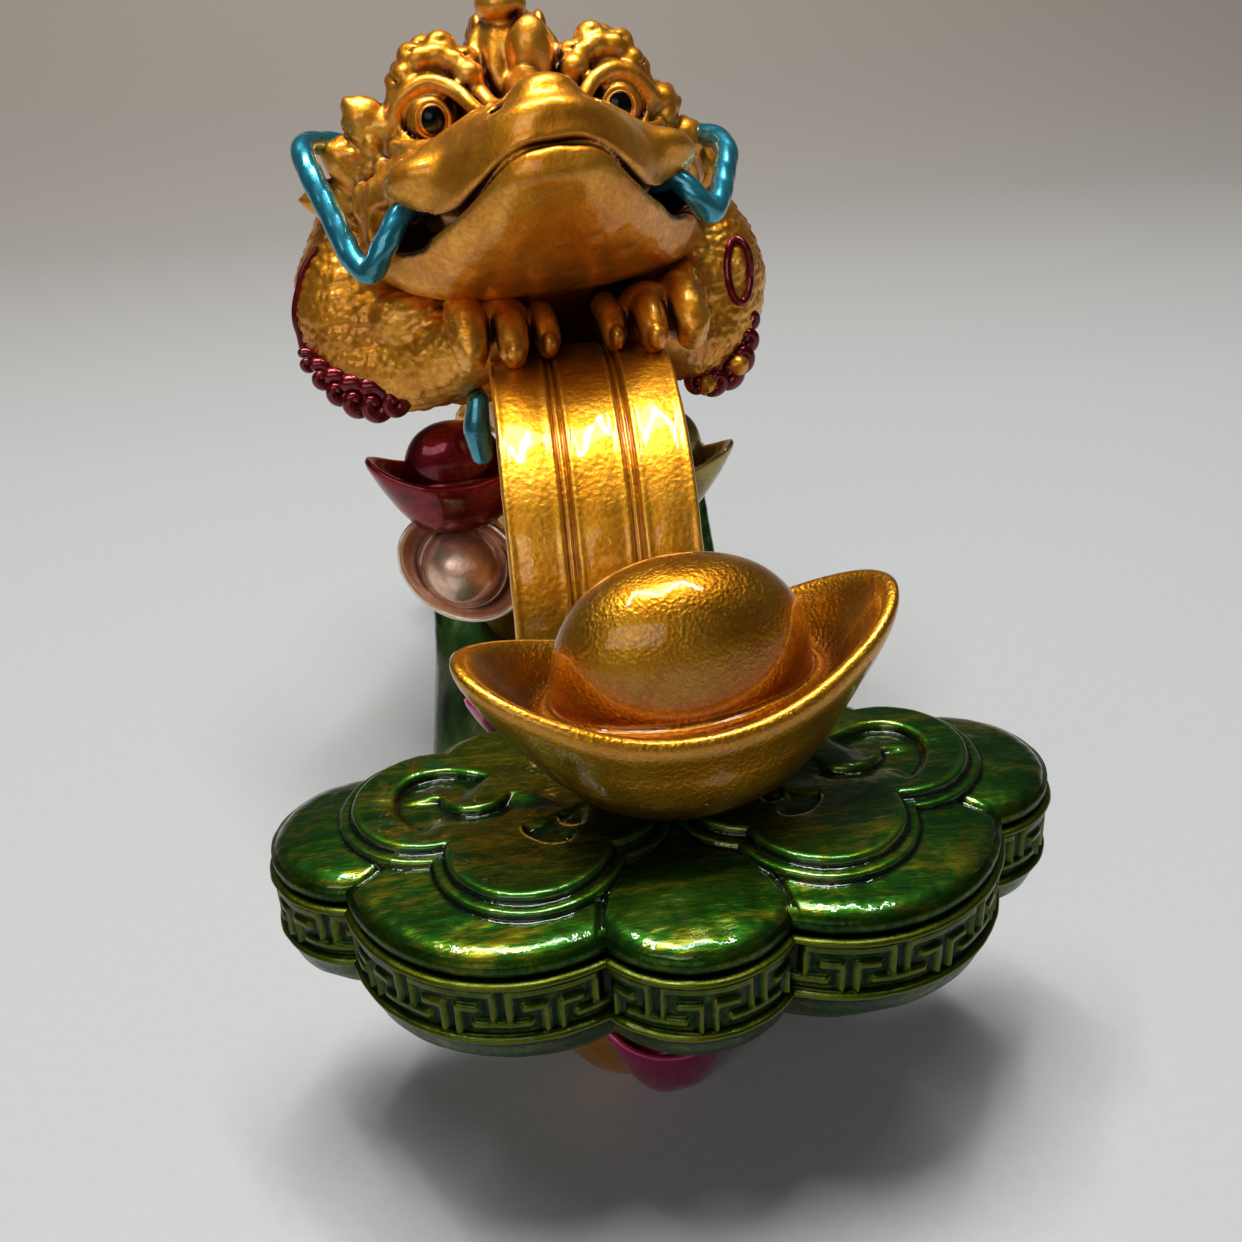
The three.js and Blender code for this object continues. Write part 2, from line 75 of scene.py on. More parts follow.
# Large ingot on the sceptre head
INGOT_LENGTH, INGOT_HEIGHT, INGOT_BREADTH, ROUND_BREADTH = 33.0, 18.0, 0.49, 0.8
INGOT_X, INGOT_Y, INGOT_TURN, INGOT_LEAN, INGOT_FOOT = 1.4, 1.0, 7.0, -3.0, 0.46
GLUE_GAP = 0.3
# How the dressed ingot departs from its solid: moved, leant, its long rims lower, its side and foot fuller
INGOT_SHIFT, INGOT_LESS_LEAN, RIM_SAG = (0.4, -0.8), 0.8, 0.7
SIDE_FULLNESS, FOOT_FULLNESS = 1.05, 0.3

# Toad: its own unit in millimetres, a hundredth of its width, from where it sits on the coins
UNIT = 0.5
TOAD_X, TOAD_TURN, HEAD_PITCH = -3.5, 5.0, 32.0
ROPE_RADIUS = 1.25

# Mesh fineness: steps along each lobe's side, sample spacing of each clay form, and divisions round
SIDE_STEPS, BAND_ROWS = 106, 34
HEAD_TOP_STEP, TAIL_STEP = 0.2, 0.5
TOAD_HEAD_STEP, TRUNK_STEP, FORELEG_STEP = 0.64, 0.98, 0.56
COIN_AROUND, EYE_AROUND = 240, 48
LARGE_INGOT_GRID, SMALL_INGOT_GRID = (330, 112), (92, 54)
FLOOR_HEIGHT = 0.02


# Small numeric helpers

def lerp(a, b, t):
    return a + (b - a) * t


def ease(low, high, x):
    t = np.clip((x - low) / (high - low), 0, 1)
    return t * t * (3 - 2 * t)


def soft_max(a, b, blend):
    h = np.clip(0.5 + 0.5 * (a - b) / blend, 0, 1)
    return lerp(b, a, h) + blend * h * (1 - h)


def turns(count):
    """Angles once round."""
    return np.linspace(0, 2 * np.pi, count, endpoint=False)


def travelled(line):
    """Length along a line of points at each of them."""
    return np.concatenate([[0], np.cumsum(np.linalg.norm(np.diff(line, axis=0), axis=1))])


def columns_at(at, places, data):
    """Reads every column of data between its places."""
    return np.stack([np.interp(at, places, column) for column in data.T], -1)


def placing(x, y, z, rx=0.0, ry=0.0, rz=0.0, scale=1.0):
    turn = Matrix.Rotation(np.radians(rz), 4, "Z") @ Matrix.Rotation(np.radians(ry), 4, "Y")
    turn = turn @ Matrix.Rotation(np.radians(rx), 4, "X")
    return np.array(Matrix.Translation((x, y, z)) @ turn @ Matrix.Scale(scale, 4))


def put(points, place):
    return points @ place[:3, :3].T + place[:3, 3]


def spline(stops, count):
    """Points of a centripetal curve through the stops, evenly spread over its spans."""
    p = np.array(stops, float)
    p = np.vstack([2 * p[0] - p[1], p, 2 * p[-1] - p[-2]])
    gaps = np.maximum(np.linalg.norm(np.diff(p, axis=0), axis=1), 1e-6)
    knots = np.concatenate([[0], np.cumsum(gaps ** 0.5)])
    spans = len(p) - 3
    at = np.linspace(0, spans, count)
    k = np.minimum(at.astype(int), spans - 1)
    t = lerp(knots[k + 1], knots[k + 2], at - k)[:, None]
    k0, k1, k2, k3 = (knots[k + i][:, None] for i in range(4))
    p0, p1, p2, p3 = (p[k + i] for i in range(4))

    def between(ka, a, kb, b):
        return (kb - t) / (kb - ka) * a + (t - ka) / (kb - ka) * b

    middle = between(k1, p1, k2, p2)
    before = between(k0, between(k0, p0, k1, p1), k2, middle)
    after = between(k1, middle, k3, between(k2, p2, k3, p3))
    return between(k1, before, k2, after)


def table(stops, column, at):
    """A smooth curve through the stops' first column and the given one, read at many places."""
    data = np.array([[s[0], s[column]] for s in stops], float)
    line = spline(data, 40 * len(data))
    return np.interp(at, line[:, 0], line[:, 1]).astype(np.float32)


def lattice(cell, seed):
    """Three seeded random numbers for each whole-number cell."""
    a, b, c = (cell[..., k] for k in range(3))
    mixed = (a * 73856093) ^ (b * 19349663) ^ (c * 83492791) ^ (seed * 2654435761)
    out = []
    for k in range(3):
        mixed = (mixed ^ (mixed >> 13)) * 1274126177 & 0xFFFFFFFF
        mixed = (mixed ^ (mixed >> 16)) & 0xFFFFFFFF
        out.append(((mixed + 40503 * k) & 0xFFFF) / 65535.0)
    return np.stack(out, -1)


def corner_shares(f):
    """Each corner of a unit cell as three bits, and its share at f."""
    for corner in range(8):
        bits = np.array([(corner >> k) & 1 for k in range(3)])
        yield bits, np.prod(np.where(bits, f, 1 - f), axis=-1)


def noise(points, size, seed=1):
    """Smooth noise from -1 to 1 with features of a given size."""
    p = points / size
    base = np.floor(p).astype(np.int64)
    f = p - base
    shares = corner_shares(f * f * (3 - 2 * f))
    return sum(share * lattice(base + bits, seed)[..., 0] for bits, share in shares) * 2 - 1


def cells(points, size, seed=1, jitter=0.85):
    """In cell sizes: distance to the nearest seeded point, to the next one, and the way from the nearest."""
    p = points / size
    base = np.floor(p).astype(np.int64)
    near = np.full(len(p), 9.0)
    second = near.copy()
    way = np.zeros_like(p)
    for step in np.ndindex(3, 3, 3):
        cell = base + np.array(step) - 1
        from_spot = p - cell - 0.5 - (lattice(cell, seed) - 0.5) * jitter
        d = np.linalg.norm(from_spot, axis=1)
        second = np.minimum(second, np.maximum(near, d))
        way = np.where((d < near)[:, None], from_spot, way)
        near = np.minimum(near, d)
    return near, second, way


# Meshes

def grid_faces(rows, columns, wrap=False, start=0):
    """Quads of a grid of points, row after row; a wrapped row closes on itself."""
    across = columns if wrap else columns - 1
    r, c = np.meshgrid(np.arange(rows - 1), np.arange(across), indexing="ij")
    n = (c + 1) % columns
    quads = np.stack([r * columns + c, r * columns + n, (r + 1) * columns + n, (r + 1) * columns + c], -1)
    return quads.reshape(-1, 4) + start


def merged(parts):
    """One (points, faces) from several."""
    points, faces, count = [], [], 0
    for p, f in parts:
        points.append(p)
        faces.append(f + count)
        count += len(p)
    return np.vstack(points), np.vstack(faces)


def normals(points, faces):
    a, b, c, d = (points[faces[:, k]] for k in range(4))
    across = np.cross(c - a, d - b)
    out = np.zeros_like(points)
    for k in range(4):
        for axis in range(3):
            out[:, axis] += np.bincount(faces[:, k], across[:, axis], len(points))
    return out / np.maximum(np.linalg.norm(out, axis=1), 1e-12)[:, None]


def neighbour_mean(values, faces, count):
    """Mean of each point's neighbours along the quads' edges."""
    a = np.concatenate([faces[:, k] for k in range(4)])
    b = np.concatenate([faces[:, (k + 1) % 4] for k in range(4)])
    ends, others = np.concatenate([a, b]), np.concatenate([b, a])
    weight = np.maximum(np.bincount(ends, minlength=count), 1)
    flat = values.reshape(count, -1)
    means = [np.bincount(ends, flat[others, k], count) / weight for k in range(flat.shape[1])]
    return np.stack(means, -1).reshape(values.shape)


def hollows(points, faces, reach, rounds=3):
    """How far each point lies below its surroundings: -1 on edges to 1 in recesses of the given reach."""
    wide = points
    for _ in range(rounds):
        wide = neighbour_mean(wide, faces, len(points))
    below = ((wide - points) * normals(points, faces)).sum(1)
    return np.clip(neighbour_mean(below, faces, len(points)) / reach, -1, 1)


def weathered(points, faces, *layers):
    """Moves the points in and out by layers of noise: height, size and seed."""
    rough = sum(height * noise(points, size, seed) for height, size, seed in layers)
    return points + rough[:, None] * normals(points, faces)


def new_object(name, data):
    made = bpy.data.objects.new(name, data)
    bpy.context.collection.objects.link(made)
    return made


def make(name, points, faces, material, slot, painted_light=None, node=FIGURE):
    """A piece from millimetre points in the head's frame."""
    mesh = bpy.data.meshes.new(name)
    mesh.vertices.add(len(points))
    mesh.vertices.foreach_set("co", ((points + ROW_SHIFT) * MM).astype(np.float32).ravel())
    mesh.loops.add(faces.size)
    mesh.loops.foreach_set("vertex_index", faces.astype(np.int32).ravel())
    mesh.polygons.add(len(faces))
    mesh.polygons.foreach_set("loop_start", np.arange(0, faces.size, faces.shape[1], dtype=np.int32))
    mesh.update(calc_edges=True)
    mesh.validate()
    mesh.shade_smooth()
    if painted_light is None:
        painted_light = np.zeros(len(points))
    # Each point's share of painted light, read by the paints: painted shade where positive, painted edge
    # highlight where negative.
    layer = mesh.attributes.new("painted_light", "FLOAT", "POINT")
    layer.data.foreach_set("value", painted_light.astype(np.float32))
    mesh.materials.append(material)
    piece = new_object(name, mesh)
    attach(piece, "root")
    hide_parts(node)


def tube(stops, radii, around, along, squash=1.0, twist=0.0):
    """A round limb along a smooth curve with domed ends. A twist, in radians per length, gives it strands."""
    line = spline(stops, along)
    spread = np.linspace(0, 1, len(radii))
    radius = np.interp(np.linspace(0, 1, along), spread, radii)
    step = np.gradient(line, axis=0)
    tangent = step / np.linalg.norm(step, axis=1)[:, None]
    side = np.cross(tangent[0], [0.3, 0.5, 0.81])
    sides = []
    for t in tangent:
        side = side - t * (side @ t)
        side = side / np.linalg.norm(side)
        sides.append(side)
    side = np.array(sides)
    up = np.cross(tangent, side)
    cap = 7
    bend = np.linspace(0, np.pi / 2, cap)[:-1]
    line = np.vstack([
        line[0] - tangent[0] * radius[0] * np.cos(bend)[:, None], line,
        line[-1] + tangent[-1] * radius[-1] * np.cos(bend[::-1])[:, None]])
    radius = np.concatenate([radius[0] * np.sin(bend) + 1e-3, radius, radius[-1] * np.sin(bend[::-1]) + 1e-3])
    side, up = (np.pad(v, ((cap - 1, cap - 1), (0, 0)), mode="edge") for v in (side, up))
    angle = turns(around)
    share = np.ones((len(line), around))
    if twist:
        share = 0.95 + 0.06 * np.abs(np.cos(1.5 * (angle[None, :] + twist * travelled(line)[:, None])))
    ring = radius[:, None, None] * share[..., None]
    c, s = (f(angle)[None, :, None] for f in (np.cos, np.sin))
    points = line[:, None] + ring * (c * side[:, None] + squash * s * up[:, None])
    return points.reshape(-1, 3), grid_faces(len(line), around, wrap=True)


def surface(field, low, step):
    """Quads on the zero level of a block of samples, one point in each cell that the surface crosses."""
    shape = np.array(field.shape)
    inside = field < 0
    cell_shape = shape - 1
    ids, spots, quads = [], [], []
    for axis in range(3):
        other = [a for a in range(3) if a != axis]
        at = np.argwhere(np.diff(inside, axis=axis))
        keep = np.all([(at[:, a] > 0) & (at[:, a] < cell_shape[a]) for a in other], axis=0)
        at = at[keep]
        ahead = at + np.eye(3, dtype=int)[axis]
        f0, f1 = field[tuple(at.T)], field[tuple(ahead.T)]
        spot = at.astype(np.float64)
        spot[:, axis] += f0 / (f0 - f1)
        around = []
        for i, j in ((-1, -1), (0, -1), (0, 0), (-1, 0)):
            cell = at.copy()
            cell[:, other[0]] += i
            cell[:, other[1]] += j
            around.append(np.ravel_multi_index(tuple(cell.T), tuple(cell_shape)))
        quad = np.stack(around, -1)
        swap = (f0 > 0) != (axis == 1)
        quad[swap] = quad[swap][:, ::-1]
        quads.append(quad)
        for cell in around:
            ids.append(cell)
            spots.append(spot)
    ids, spots, quads = np.concatenate(ids), np.vstack(spots), np.vstack(quads)
    unique, index = np.unique(ids, return_inverse=True)
    number = np.bincount(index)
    points = np.stack([np.bincount(index, spots[:, k]) / number for k in range(3)], -1)
    faces = np.searchsorted(unique, quads)
    return points * step + np.array(low), faces


def sample(field, low, step, points):
    """Reads a block of samples between its grid points."""
    p = (points - np.array(low)) / step
    p = np.clip(p, 0, np.array(field.shape) - 1.001)
    base = p.astype(int)
    return sum(share * field[tuple((base + bits).T)] for bits, share in corner_shares(p - base))


class Clay:
    """Distances to a growing form, sampled on a block that is mirrored across x = 0 until unfold()."""

    def __init__(self, low, high, step):
        self.step = step
        self.mirrored = True
        self.low = np.array([0.0, low[1], low[2]])
        counts = [int(np.ceil((h - l) / step)) + 1 for l, h in zip(self.low, high)]
        self.axes = [(self.low[k] + step * np.arange(counts[k])).astype(np.float32) for k in range(3)]
        self.field = np.full(counts, 30.0, np.float32)

    def grid(self, cuts=(slice(None),) * 3):
        """Places of the samples, in the whole block or a part of it."""
        x, y, z = (axis[part] for axis, part in zip(self.axes, cuts))
        return x[:, None, None], y[None, :, None], z[None, None, :]

    def mix(self, form, blend=1.0, cut=False):
        """Adds or cuts a form (function, low corner, high corner) with a soft seam."""
        distance, low, high = form
        margin = 3 + blend
        ends = zip(self.axes, np.array(low) - margin, np.array(high) + margin)
        cuts = tuple(slice(*np.searchsorted(axis, (a, b))) for axis, a, b in ends)
        old = self.field[cuts]
        if old.size == 0:
            return
        new = distance(*self.grid(cuts))
        if cut:
            new, old = new, -old
        h = np.clip(0.5 + 0.5 * (new - old) / blend, 0, 1)
        out = new * (1 - h) + old * h - blend * h * (1 - h)
        self.field[cuts] = -out if cut else out

    def whole(self):
        """(samples, low corner) with the mirrored half."""
        if not self.mirrored:
            return self.field, self.low
        field = np.concatenate([self.field[:0:-1], self.field])
        low = self.low.copy()
        low[0] = -self.axes[0][-1]
        return field, low

    def unfold(self):
        """Both halves as one block that is no longer mirrored."""
        if self.mirrored:
            self.field, self.low = self.whole()
            self.mirrored = False
            self.axes[0] = (self.low[0] + self.step * np.arange(self.field.shape[0])).astype(np.float32)

    def mesh(self):
        """(points, faces, shade): shade is how closed in each point is, 0 in the open to 1 in a crevice."""
        field, low = self.whole()
        points, faces = surface(field, low, self.step)
        for _ in range(4):
            points = lerp(points, neighbour_mean(points, faces, len(points)), 0.6)
            value = sample(field, low, self.step, points)
            slope = self.slope(field, low, points)
            size = np.maximum((slope ** 2).sum(1), 0.05)
            points = points - slope * (value / size)[:, None] * 0.8
        out = self.slope(field, low, points)
        out = out / np.maximum(np.linalg.norm(out, axis=1), 1e-9)[:, None]
        shade = 0
        for reach in (1.2, 2.5, 5.0):
            shade = shade + np.clip(1 - sample(field, low, self.step, points + out * reach) / reach, 0, 1) / 3
        return points, faces, shade

    def slope(self, field, low, points):
        parts = []
        for k in range(3):
            move = np.zeros(3)
            move[k] = self.step * 0.7
            ahead, behind = (sample(field, low, self.step, points + way * move) for way in (1, -1))
            parts.append(ahead - behind)
        return np.stack(parts, -1) / (2 * self.step * 0.7)


def ball(at, sizes, turn=(0, 0, 0)):
    """A stretched ball, for Clay."""
    at, sizes = np.array(at, float), np.array(sizes, float)
    rot = placing(0, 0, 0, *turn)[:3, :3]

    def distance(x, y, z):
        dx, dy, dz = x - at[0], y - at[1], z - at[2]
        if any(turn):
            px, py, pz = (dx * rot[0, k] + dy * rot[1, k] + dz * rot[2, k] for k in range(3))
        else:
            px, py, pz = dx, dy, dz
        near, steep = (
            np.sqrt((px / sx) ** 2 + (py / sy) ** 2 + (pz / sz) ** 2) + 1e-6
            for sx, sy, sz in (sizes, sizes ** 2))
        return near * (near - 1) / steep

    reach = np.full(3, sizes.max()) if any(turn) else sizes
    return distance, at - reach, at + reach


def limb(stops, radii, pieces=10):
    """A round limb along a smooth curve, for Clay."""
    line = spline(stops, pieces + 1)
    radius = np.interp(np.linspace(0, 1, pieces + 1), np.linspace(0, 1, len(radii)), radii)

    def distance(x, y, z):
        best = None
        for k in range(pieces):
            a, d = line[k], line[k + 1] - line[k]
            px, py, pz = x - a[0], y - a[1], z - a[2]
            h = np.clip((px * d[0] + py * d[1] + pz * d[2]) / (d @ d + 1e-9), 0, 1)
            away = np.sqrt((px - d[0] * h) ** 2 + (py - d[1] * h) ** 2 + (pz - d[2] * h) ** 2)
            away = away - lerp(radius[k], radius[k + 1], h)
            best = away if best is None else np.minimum(best, away)
        return best

    return distance, (line - radius[:, None]).min(0), (line + radius[:, None]).max(0)


# Materials

FLAKE_BUMP = 0.00006


class Paint:
    """A material's nodes and links."""

    def __init__(self, name):
        self.material = bpy.data.materials.new(name)
        self.material.use_nodes = True
        self.tree = self.material.node_tree
        self.shader = self.tree.nodes["Principled BSDF"].inputs

    def node(self, kind, **values):
        made = self.tree.nodes.new(kind)
        for key, value in values.items():
            if key in made.inputs:
                made.inputs[key].default_value = value
            else:
                setattr(made, key, value)
        return made

    def join(self, a, b):
        self.tree.links.new(a, b)

    def coordinates(self):
        return self.node("ShaderNodeTexCoord").outputs["Object"]

    def speckle(self, place, **values):
        made = self.node("ShaderNodeTexNoise", **values)
        self.join(place, made.inputs["Vector"])
        return made.outputs["Fac"]

    def remap(self, value, low, high, to_low=0.0, to_high=1.0):
        ends = {"From Min": low, "From Max": high, "To Min": to_low, "To Max": to_high}
        made = self.node("ShaderNodeMapRange", clamp=True, **ends)
        self.join(value, made.inputs["Value"])
        return made.outputs["Result"]

    def tinted(self, color, share, tone):
        made = self.node("ShaderNodeMix", data_type="RGBA")
        self.join(share, made.inputs[0])
        self.join(color, made.inputs[6])
        made.inputs[7].default_value = (*tone, 1)
        return made.outputs[2]

    def bump(self, height, distance, strength, under=None):
        made = self.node("ShaderNodeBump", Distance=distance, Strength=strength)
        self.join(height, made.inputs["Height"])
        if under:
            self.join(under, made.inputs["Normal"])
        return made.outputs["Normal"]


def lacquer(name, deep, mid, bright, metal=0.75, rough=0.3, flake=900.0, patches=180.0, streak=None,
            grain=0.35, wrinkle=None, shade_tone=None, shade_tone_at=(0.15, 0.75), edge=0.35, edge_tone=None,
            coat=1.0, gloss=0.05, shine=0.5, ripple=0.0):
    """Metallic paint under clear gloss. deep, mid and bright are its colours from patches and flakes. The
    colour given for hollows is painted shade laid into them, and edge is how much a painted highlight
    lightens the raised edges towards edge_tone. streak = (scale x, y, z) brushes it, wrinkle = (scale,
    height) crinkles it, and ripple is the height of waves in the gloss."""
    paint = Paint(name)
    place = coordinates = paint.coordinates()
    if streak:
        mapping = paint.node("ShaderNodeMapping", Scale=streak)
        paint.join(coordinates, mapping.inputs["Vector"])
        place = mapping.outputs["Vector"]
    broad = paint.speckle(place, Scale=patches, Detail=4.0, Roughness=0.62, Distortion=0.6)
    fine = paint.speckle(place, Scale=flake, Detail=3.0, Roughness=0.7)
    blend = paint.node("ShaderNodeMix", data_type="FLOAT")
    blend.inputs[0].default_value = grain
    paint.join(broad, blend.inputs[2])
    paint.join(fine, blend.inputs[3])
    ramp = paint.node("ShaderNodeValToRGB")
    stops = ramp.color_ramp.elements
    stops[0].position, stops[1].position = 0.36, 0.66
    stops[0].color, stops[1].color = (*deep, 1), (*bright, 1)
    stops.new(0.5).color = (*mid, 1)
    paint.join(blend.outputs[0], ramp.inputs["Fac"])
    color = ramp.outputs["Color"]
    # The mesh's share of painted light: painted shade in hollows, painted highlight on edges.
    painted_light = paint.node("ShaderNodeAttribute", attribute_name="painted_light").outputs["Fac"]
    # Painted shade: hollows darkened towards the shade colour.
    if shade_tone is not None:
        color = paint.tinted(color, paint.remap(painted_light, *shade_tone_at), shade_tone)
    # Painted highlight: raised edges lightened towards the edge tone.
    if edge > 0:
        edge_highlight = paint.remap(painted_light, -0.1, -0.7, 0.0, edge)
        color = paint.tinted(color, edge_highlight, edge_tone or [min(1.0, c * 1.3) for c in bright])
    paint.join(color, paint.shader["Base Color"])
    paint.join(paint.remap(fine, 0.35, 0.65, rough + 0.08, rough - 0.06), paint.shader["Roughness"])
    values = {"Metallic": metal, "Coat Weight": coat, "Coat Roughness": gloss, "Specular IOR Level": shine}
    for key, value in values.items():
        paint.shader[key].default_value = value
    if ripple:
        uneven = paint.speckle(coordinates, Scale=620.0, Detail=3.0, Roughness=0.6)
        paint.join(paint.bump(uneven, ripple, 1.0), paint.shader["Coat Normal"])
    normal = paint.bump(fine, FLAKE_BUMP, 0.5)
    if wrinkle:
        scale, height = wrinkle
        leather = paint.node("ShaderNodeTexVoronoi", feature="SMOOTH_F1", Scale=scale, Smoothness=0.7)
        paint.join(coordinates, leather.inputs["Vector"])
        warp = paint.speckle(coordinates, Scale=scale * 0.8, Detail=3.0, Distortion=1.2)
        both = paint.node("ShaderNodeMath", operation="ADD")
        paint.join(leather.outputs["Distance"], both.inputs[0])
        paint.join(warp, both.inputs[1])
        normal = paint.bump(both.outputs[0], height, 0.8, normal)
    paint.join(normal, paint.shader["Normal"])
    return paint.material


# Dark brown painted into the toad's hollows and crevices as shade.
GOLD_SHADE = (0.10, 0.022, 0.001)
toad_gold = lacquer(
    "toad_gold", (0.56, 0.19, 0.008), (0.77, 0.30, 0.016), (1.0, 0.51, 0.06), metal=0.9, rough=0.42,
    shade_tone=GOLD_SHADE, shade_tone_at=(0.3, 0.85), patches=120.0, flake=1900.0, wrinkle=(2400.0, 0.00002),
    coat=0.6, shine=0.3)
coin_gold = lacquer(
    "coin_gold", (0.52, 0.185, 0.006), (0.70, 0.285, 0.012), (0.88, 0.43, 0.04), metal=0.92, rough=0.4,
    shade_tone=(0.24, 0.07, 0.004), patches=160.0, flake=1900.0, wrinkle=(1800.0, 0.00005), coat=0.7, shine=0.3)
ingot_gold = lacquer(
    "ingot_gold", (0.31, 0.105, 0.003), (0.44, 0.172, 0.006), (0.60, 0.28, 0.018), metal=0.97, rough=0.38,
    shade_tone=(0.26, 0.075, 0.004), patches=140.0, flake=2600.0, wrinkle=(3400.0, 0.00005), coat=0.65,
    gloss=0.08, shine=0.2)
green = lacquer(
    "green_paint", (0.002, 0.02, 0.001), (0.011, 0.07, 0.002), (0.25, 0.21, 0.008), metal=0.92, rough=0.36,
    shade_tone=(0.002, 0.01, 0.0015), shade_tone_at=(0.15, 0.7), streak=(0.35, 1.4, 1.0), grain=0.5, patches=260.0,
    flake=2000.0, edge=0.4, edge_tone=(0.05, 0.2, 0.008), coat=0.9, shine=0.3, ripple=0.00007)
# Its olive edge tone is partly the fret lines' own olive-gold and partly a painted highlight on the raised
# edges.
band_green = lacquer(
    "band_paint", (0.003, 0.018, 0.001), (0.016, 0.052, 0.001), (0.1, 0.095, 0.004), metal=0.95, rough=0.38,
    shade_tone=(0.001, 0.006, 0.001), shade_tone_at=(0.05, 0.5), grain=0.45, patches=300.0, flake=1800.0, edge=0.7,
    edge_tone=(0.11, 0.12, 0.008), coat=0.12, gloss=0.1, shine=0.1, ripple=0.0001)
handle_green = lacquer(
    "handle_paint", (0.006, 0.035, 0.004), (0.02, 0.09, 0.006), (0.12, 0.17, 0.02), metal=0.7,
    shade_tone=(0.004, 0.018, 0.003), shade_tone_at=(0.1, 0.6), streak=(1.4, 0.4, 1.0), grain=0.45, patches=240.0,
    flake=1500.0, edge=0.4, coat=0.5, gloss=0.15)
crimson = lacquer(
    "crimson_paint", (0.08, 0.0008, 0.003), (0.18, 0.002, 0.008), (0.32, 0.008, 0.02), metal=0.8,
    shade_tone=(0.014, 0.0, 0.001), coat=0.7, shine=0.3)
tuft_red = lacquer(
    "tuft_paint", (0.04, 0.0005, 0.0015), (0.1, 0.001, 0.004), (0.2, 0.004, 0.01), metal=0.7,
    shade_tone=(0.008, 0.0, 0.0005), shade_tone_at=(0.05, 0.6), coat=0.6, shine=0.3)
rose = lacquer(
    "rose_paint", (0.74, 0.38, 0.24), (0.92, 0.57, 0.41), (1.0, 0.78, 0.62), metal=0.8, rough=0.36,
    shade_tone=(0.20, 0.07, 0.03))
magenta = lacquer(
    "magenta_paint", (0.22, 0.004, 0.045), (0.38, 0.01, 0.085), (0.55, 0.03, 0.15), metal=0.6, rough=0.34,
    shade_tone=(0.10, 0.0, 0.02))
olive = lacquer(
    "olive_paint", (0.16, 0.11, 0.015), (0.28, 0.20, 0.035), (0.44, 0.34, 0.08), rough=0.34,
    shade_tone=(0.05, 0.03, 0.005))
teal = lacquer(
    "teal_paint", (0.002, 0.06, 0.09), (0.006, 0.15, 0.21), (0.04, 0.34, 0.46),
    shade_tone=(0.001, 0.03, 0.05), shade_tone_at=(0.05, 0.6))
black = lacquer(
    "black_paint", (0.001, 0.001, 0.0012), (0.0015, 0.0015, 0.002), (0.003, 0.003, 0.004), metal=0.0,
    rough=0.15, edge=0, coat=0.0, shine=0.22)
clear = lacquer(
    "clear_adhesive", (0.03, 0.04, 0.008), (0.05, 0.06, 0.012), (0.09, 0.1, 0.03), metal=0.3, rough=0.16)


# Sceptre head: side with its fret band

FRET = [
    "....................",
    "........#..#........",
    "######..#..#..######",
    ".#......#..#......#.",
    ".#..#####..#####..#.",
    ".#................#.",
    ".##################.",
]
FRET_CELL = 0.36
FRET_RAISE = 0.34
# The fret's floor and the slab's side, from the lobes' outline
BAND_FLOOR, SLAB_INSET = -0.5, -0.35
OUTLINE_TRIM = -0.18
FRET_LOW, FRET_HIGH = 21.4, 25.5
ALL_LOBES = np.array(LOBES + [(-x, y, r) for x, y, r in reversed(LOBES[1:-1])], float)


def lobe_arcs(offset):
    """Each lobe's arc between its creases: points, outward directions and lengths from its middle."""
    x, y, r = ALL_LOBES.T + np.array([[0], [0], [offset]])
    nx, ny, nr = (np.roll(v, -1) for v in (x, y, r))
    apart = np.hypot(nx - x, ny - y)
    along = (apart ** 2 + r ** 2 - nr ** 2) / (2 * apart)
    aside = np.sqrt(np.maximum(r ** 2 - along ** 2, 0))
    ux, uy = (nx - x) / apart, (ny - y) / apart
    end_x, end_y = x + ux * along + uy * aside, y + uy * along - ux * aside
    start_x, start_y = np.roll(end_x, 1), np.roll(end_y, 1)
    a0 = np.arctan2(start_y - y, start_x - x)
    a1 = np.arctan2(end_y - y, end_x - x)
    a1 = np.where(a1 < a0, a1 + 2 * np.pi, a1)
    t = np.linspace(0, 1, SIDE_STEPS + 1)[None, :]
    angle = lerp(a0[:, None], a1[:, None], t)
    out = np.stack([np.cos(angle), np.sin(angle)], -1)
    points = np.stack([x, y], -1)[:, None] + r[:, None, None] * out
    return points, out, (angle - (a0 + a1)[:, None] / 2) * r[:, None]


def fret(along, height):
    """Raised share of the fret pattern; height runs from 0 to 1 over its rows."""
    art = np.array([[c == "#" for c in row] for row in FRET], float)
    rows, columns = art.shape
    total = 0
    for du, dv in ((-0.16, -0.12), (0.16, -0.12), (-0.16, 0.12), (0.16, 0.12)):
        column = np.floor(along / FRET_CELL + columns / 2 + du).astype(int) % columns
        row = np.clip(np.floor(height * (rows - 1) + 1 + dv).astype(int), 0, rows - 1)
        total = total + art[row, column] / 4
    return total


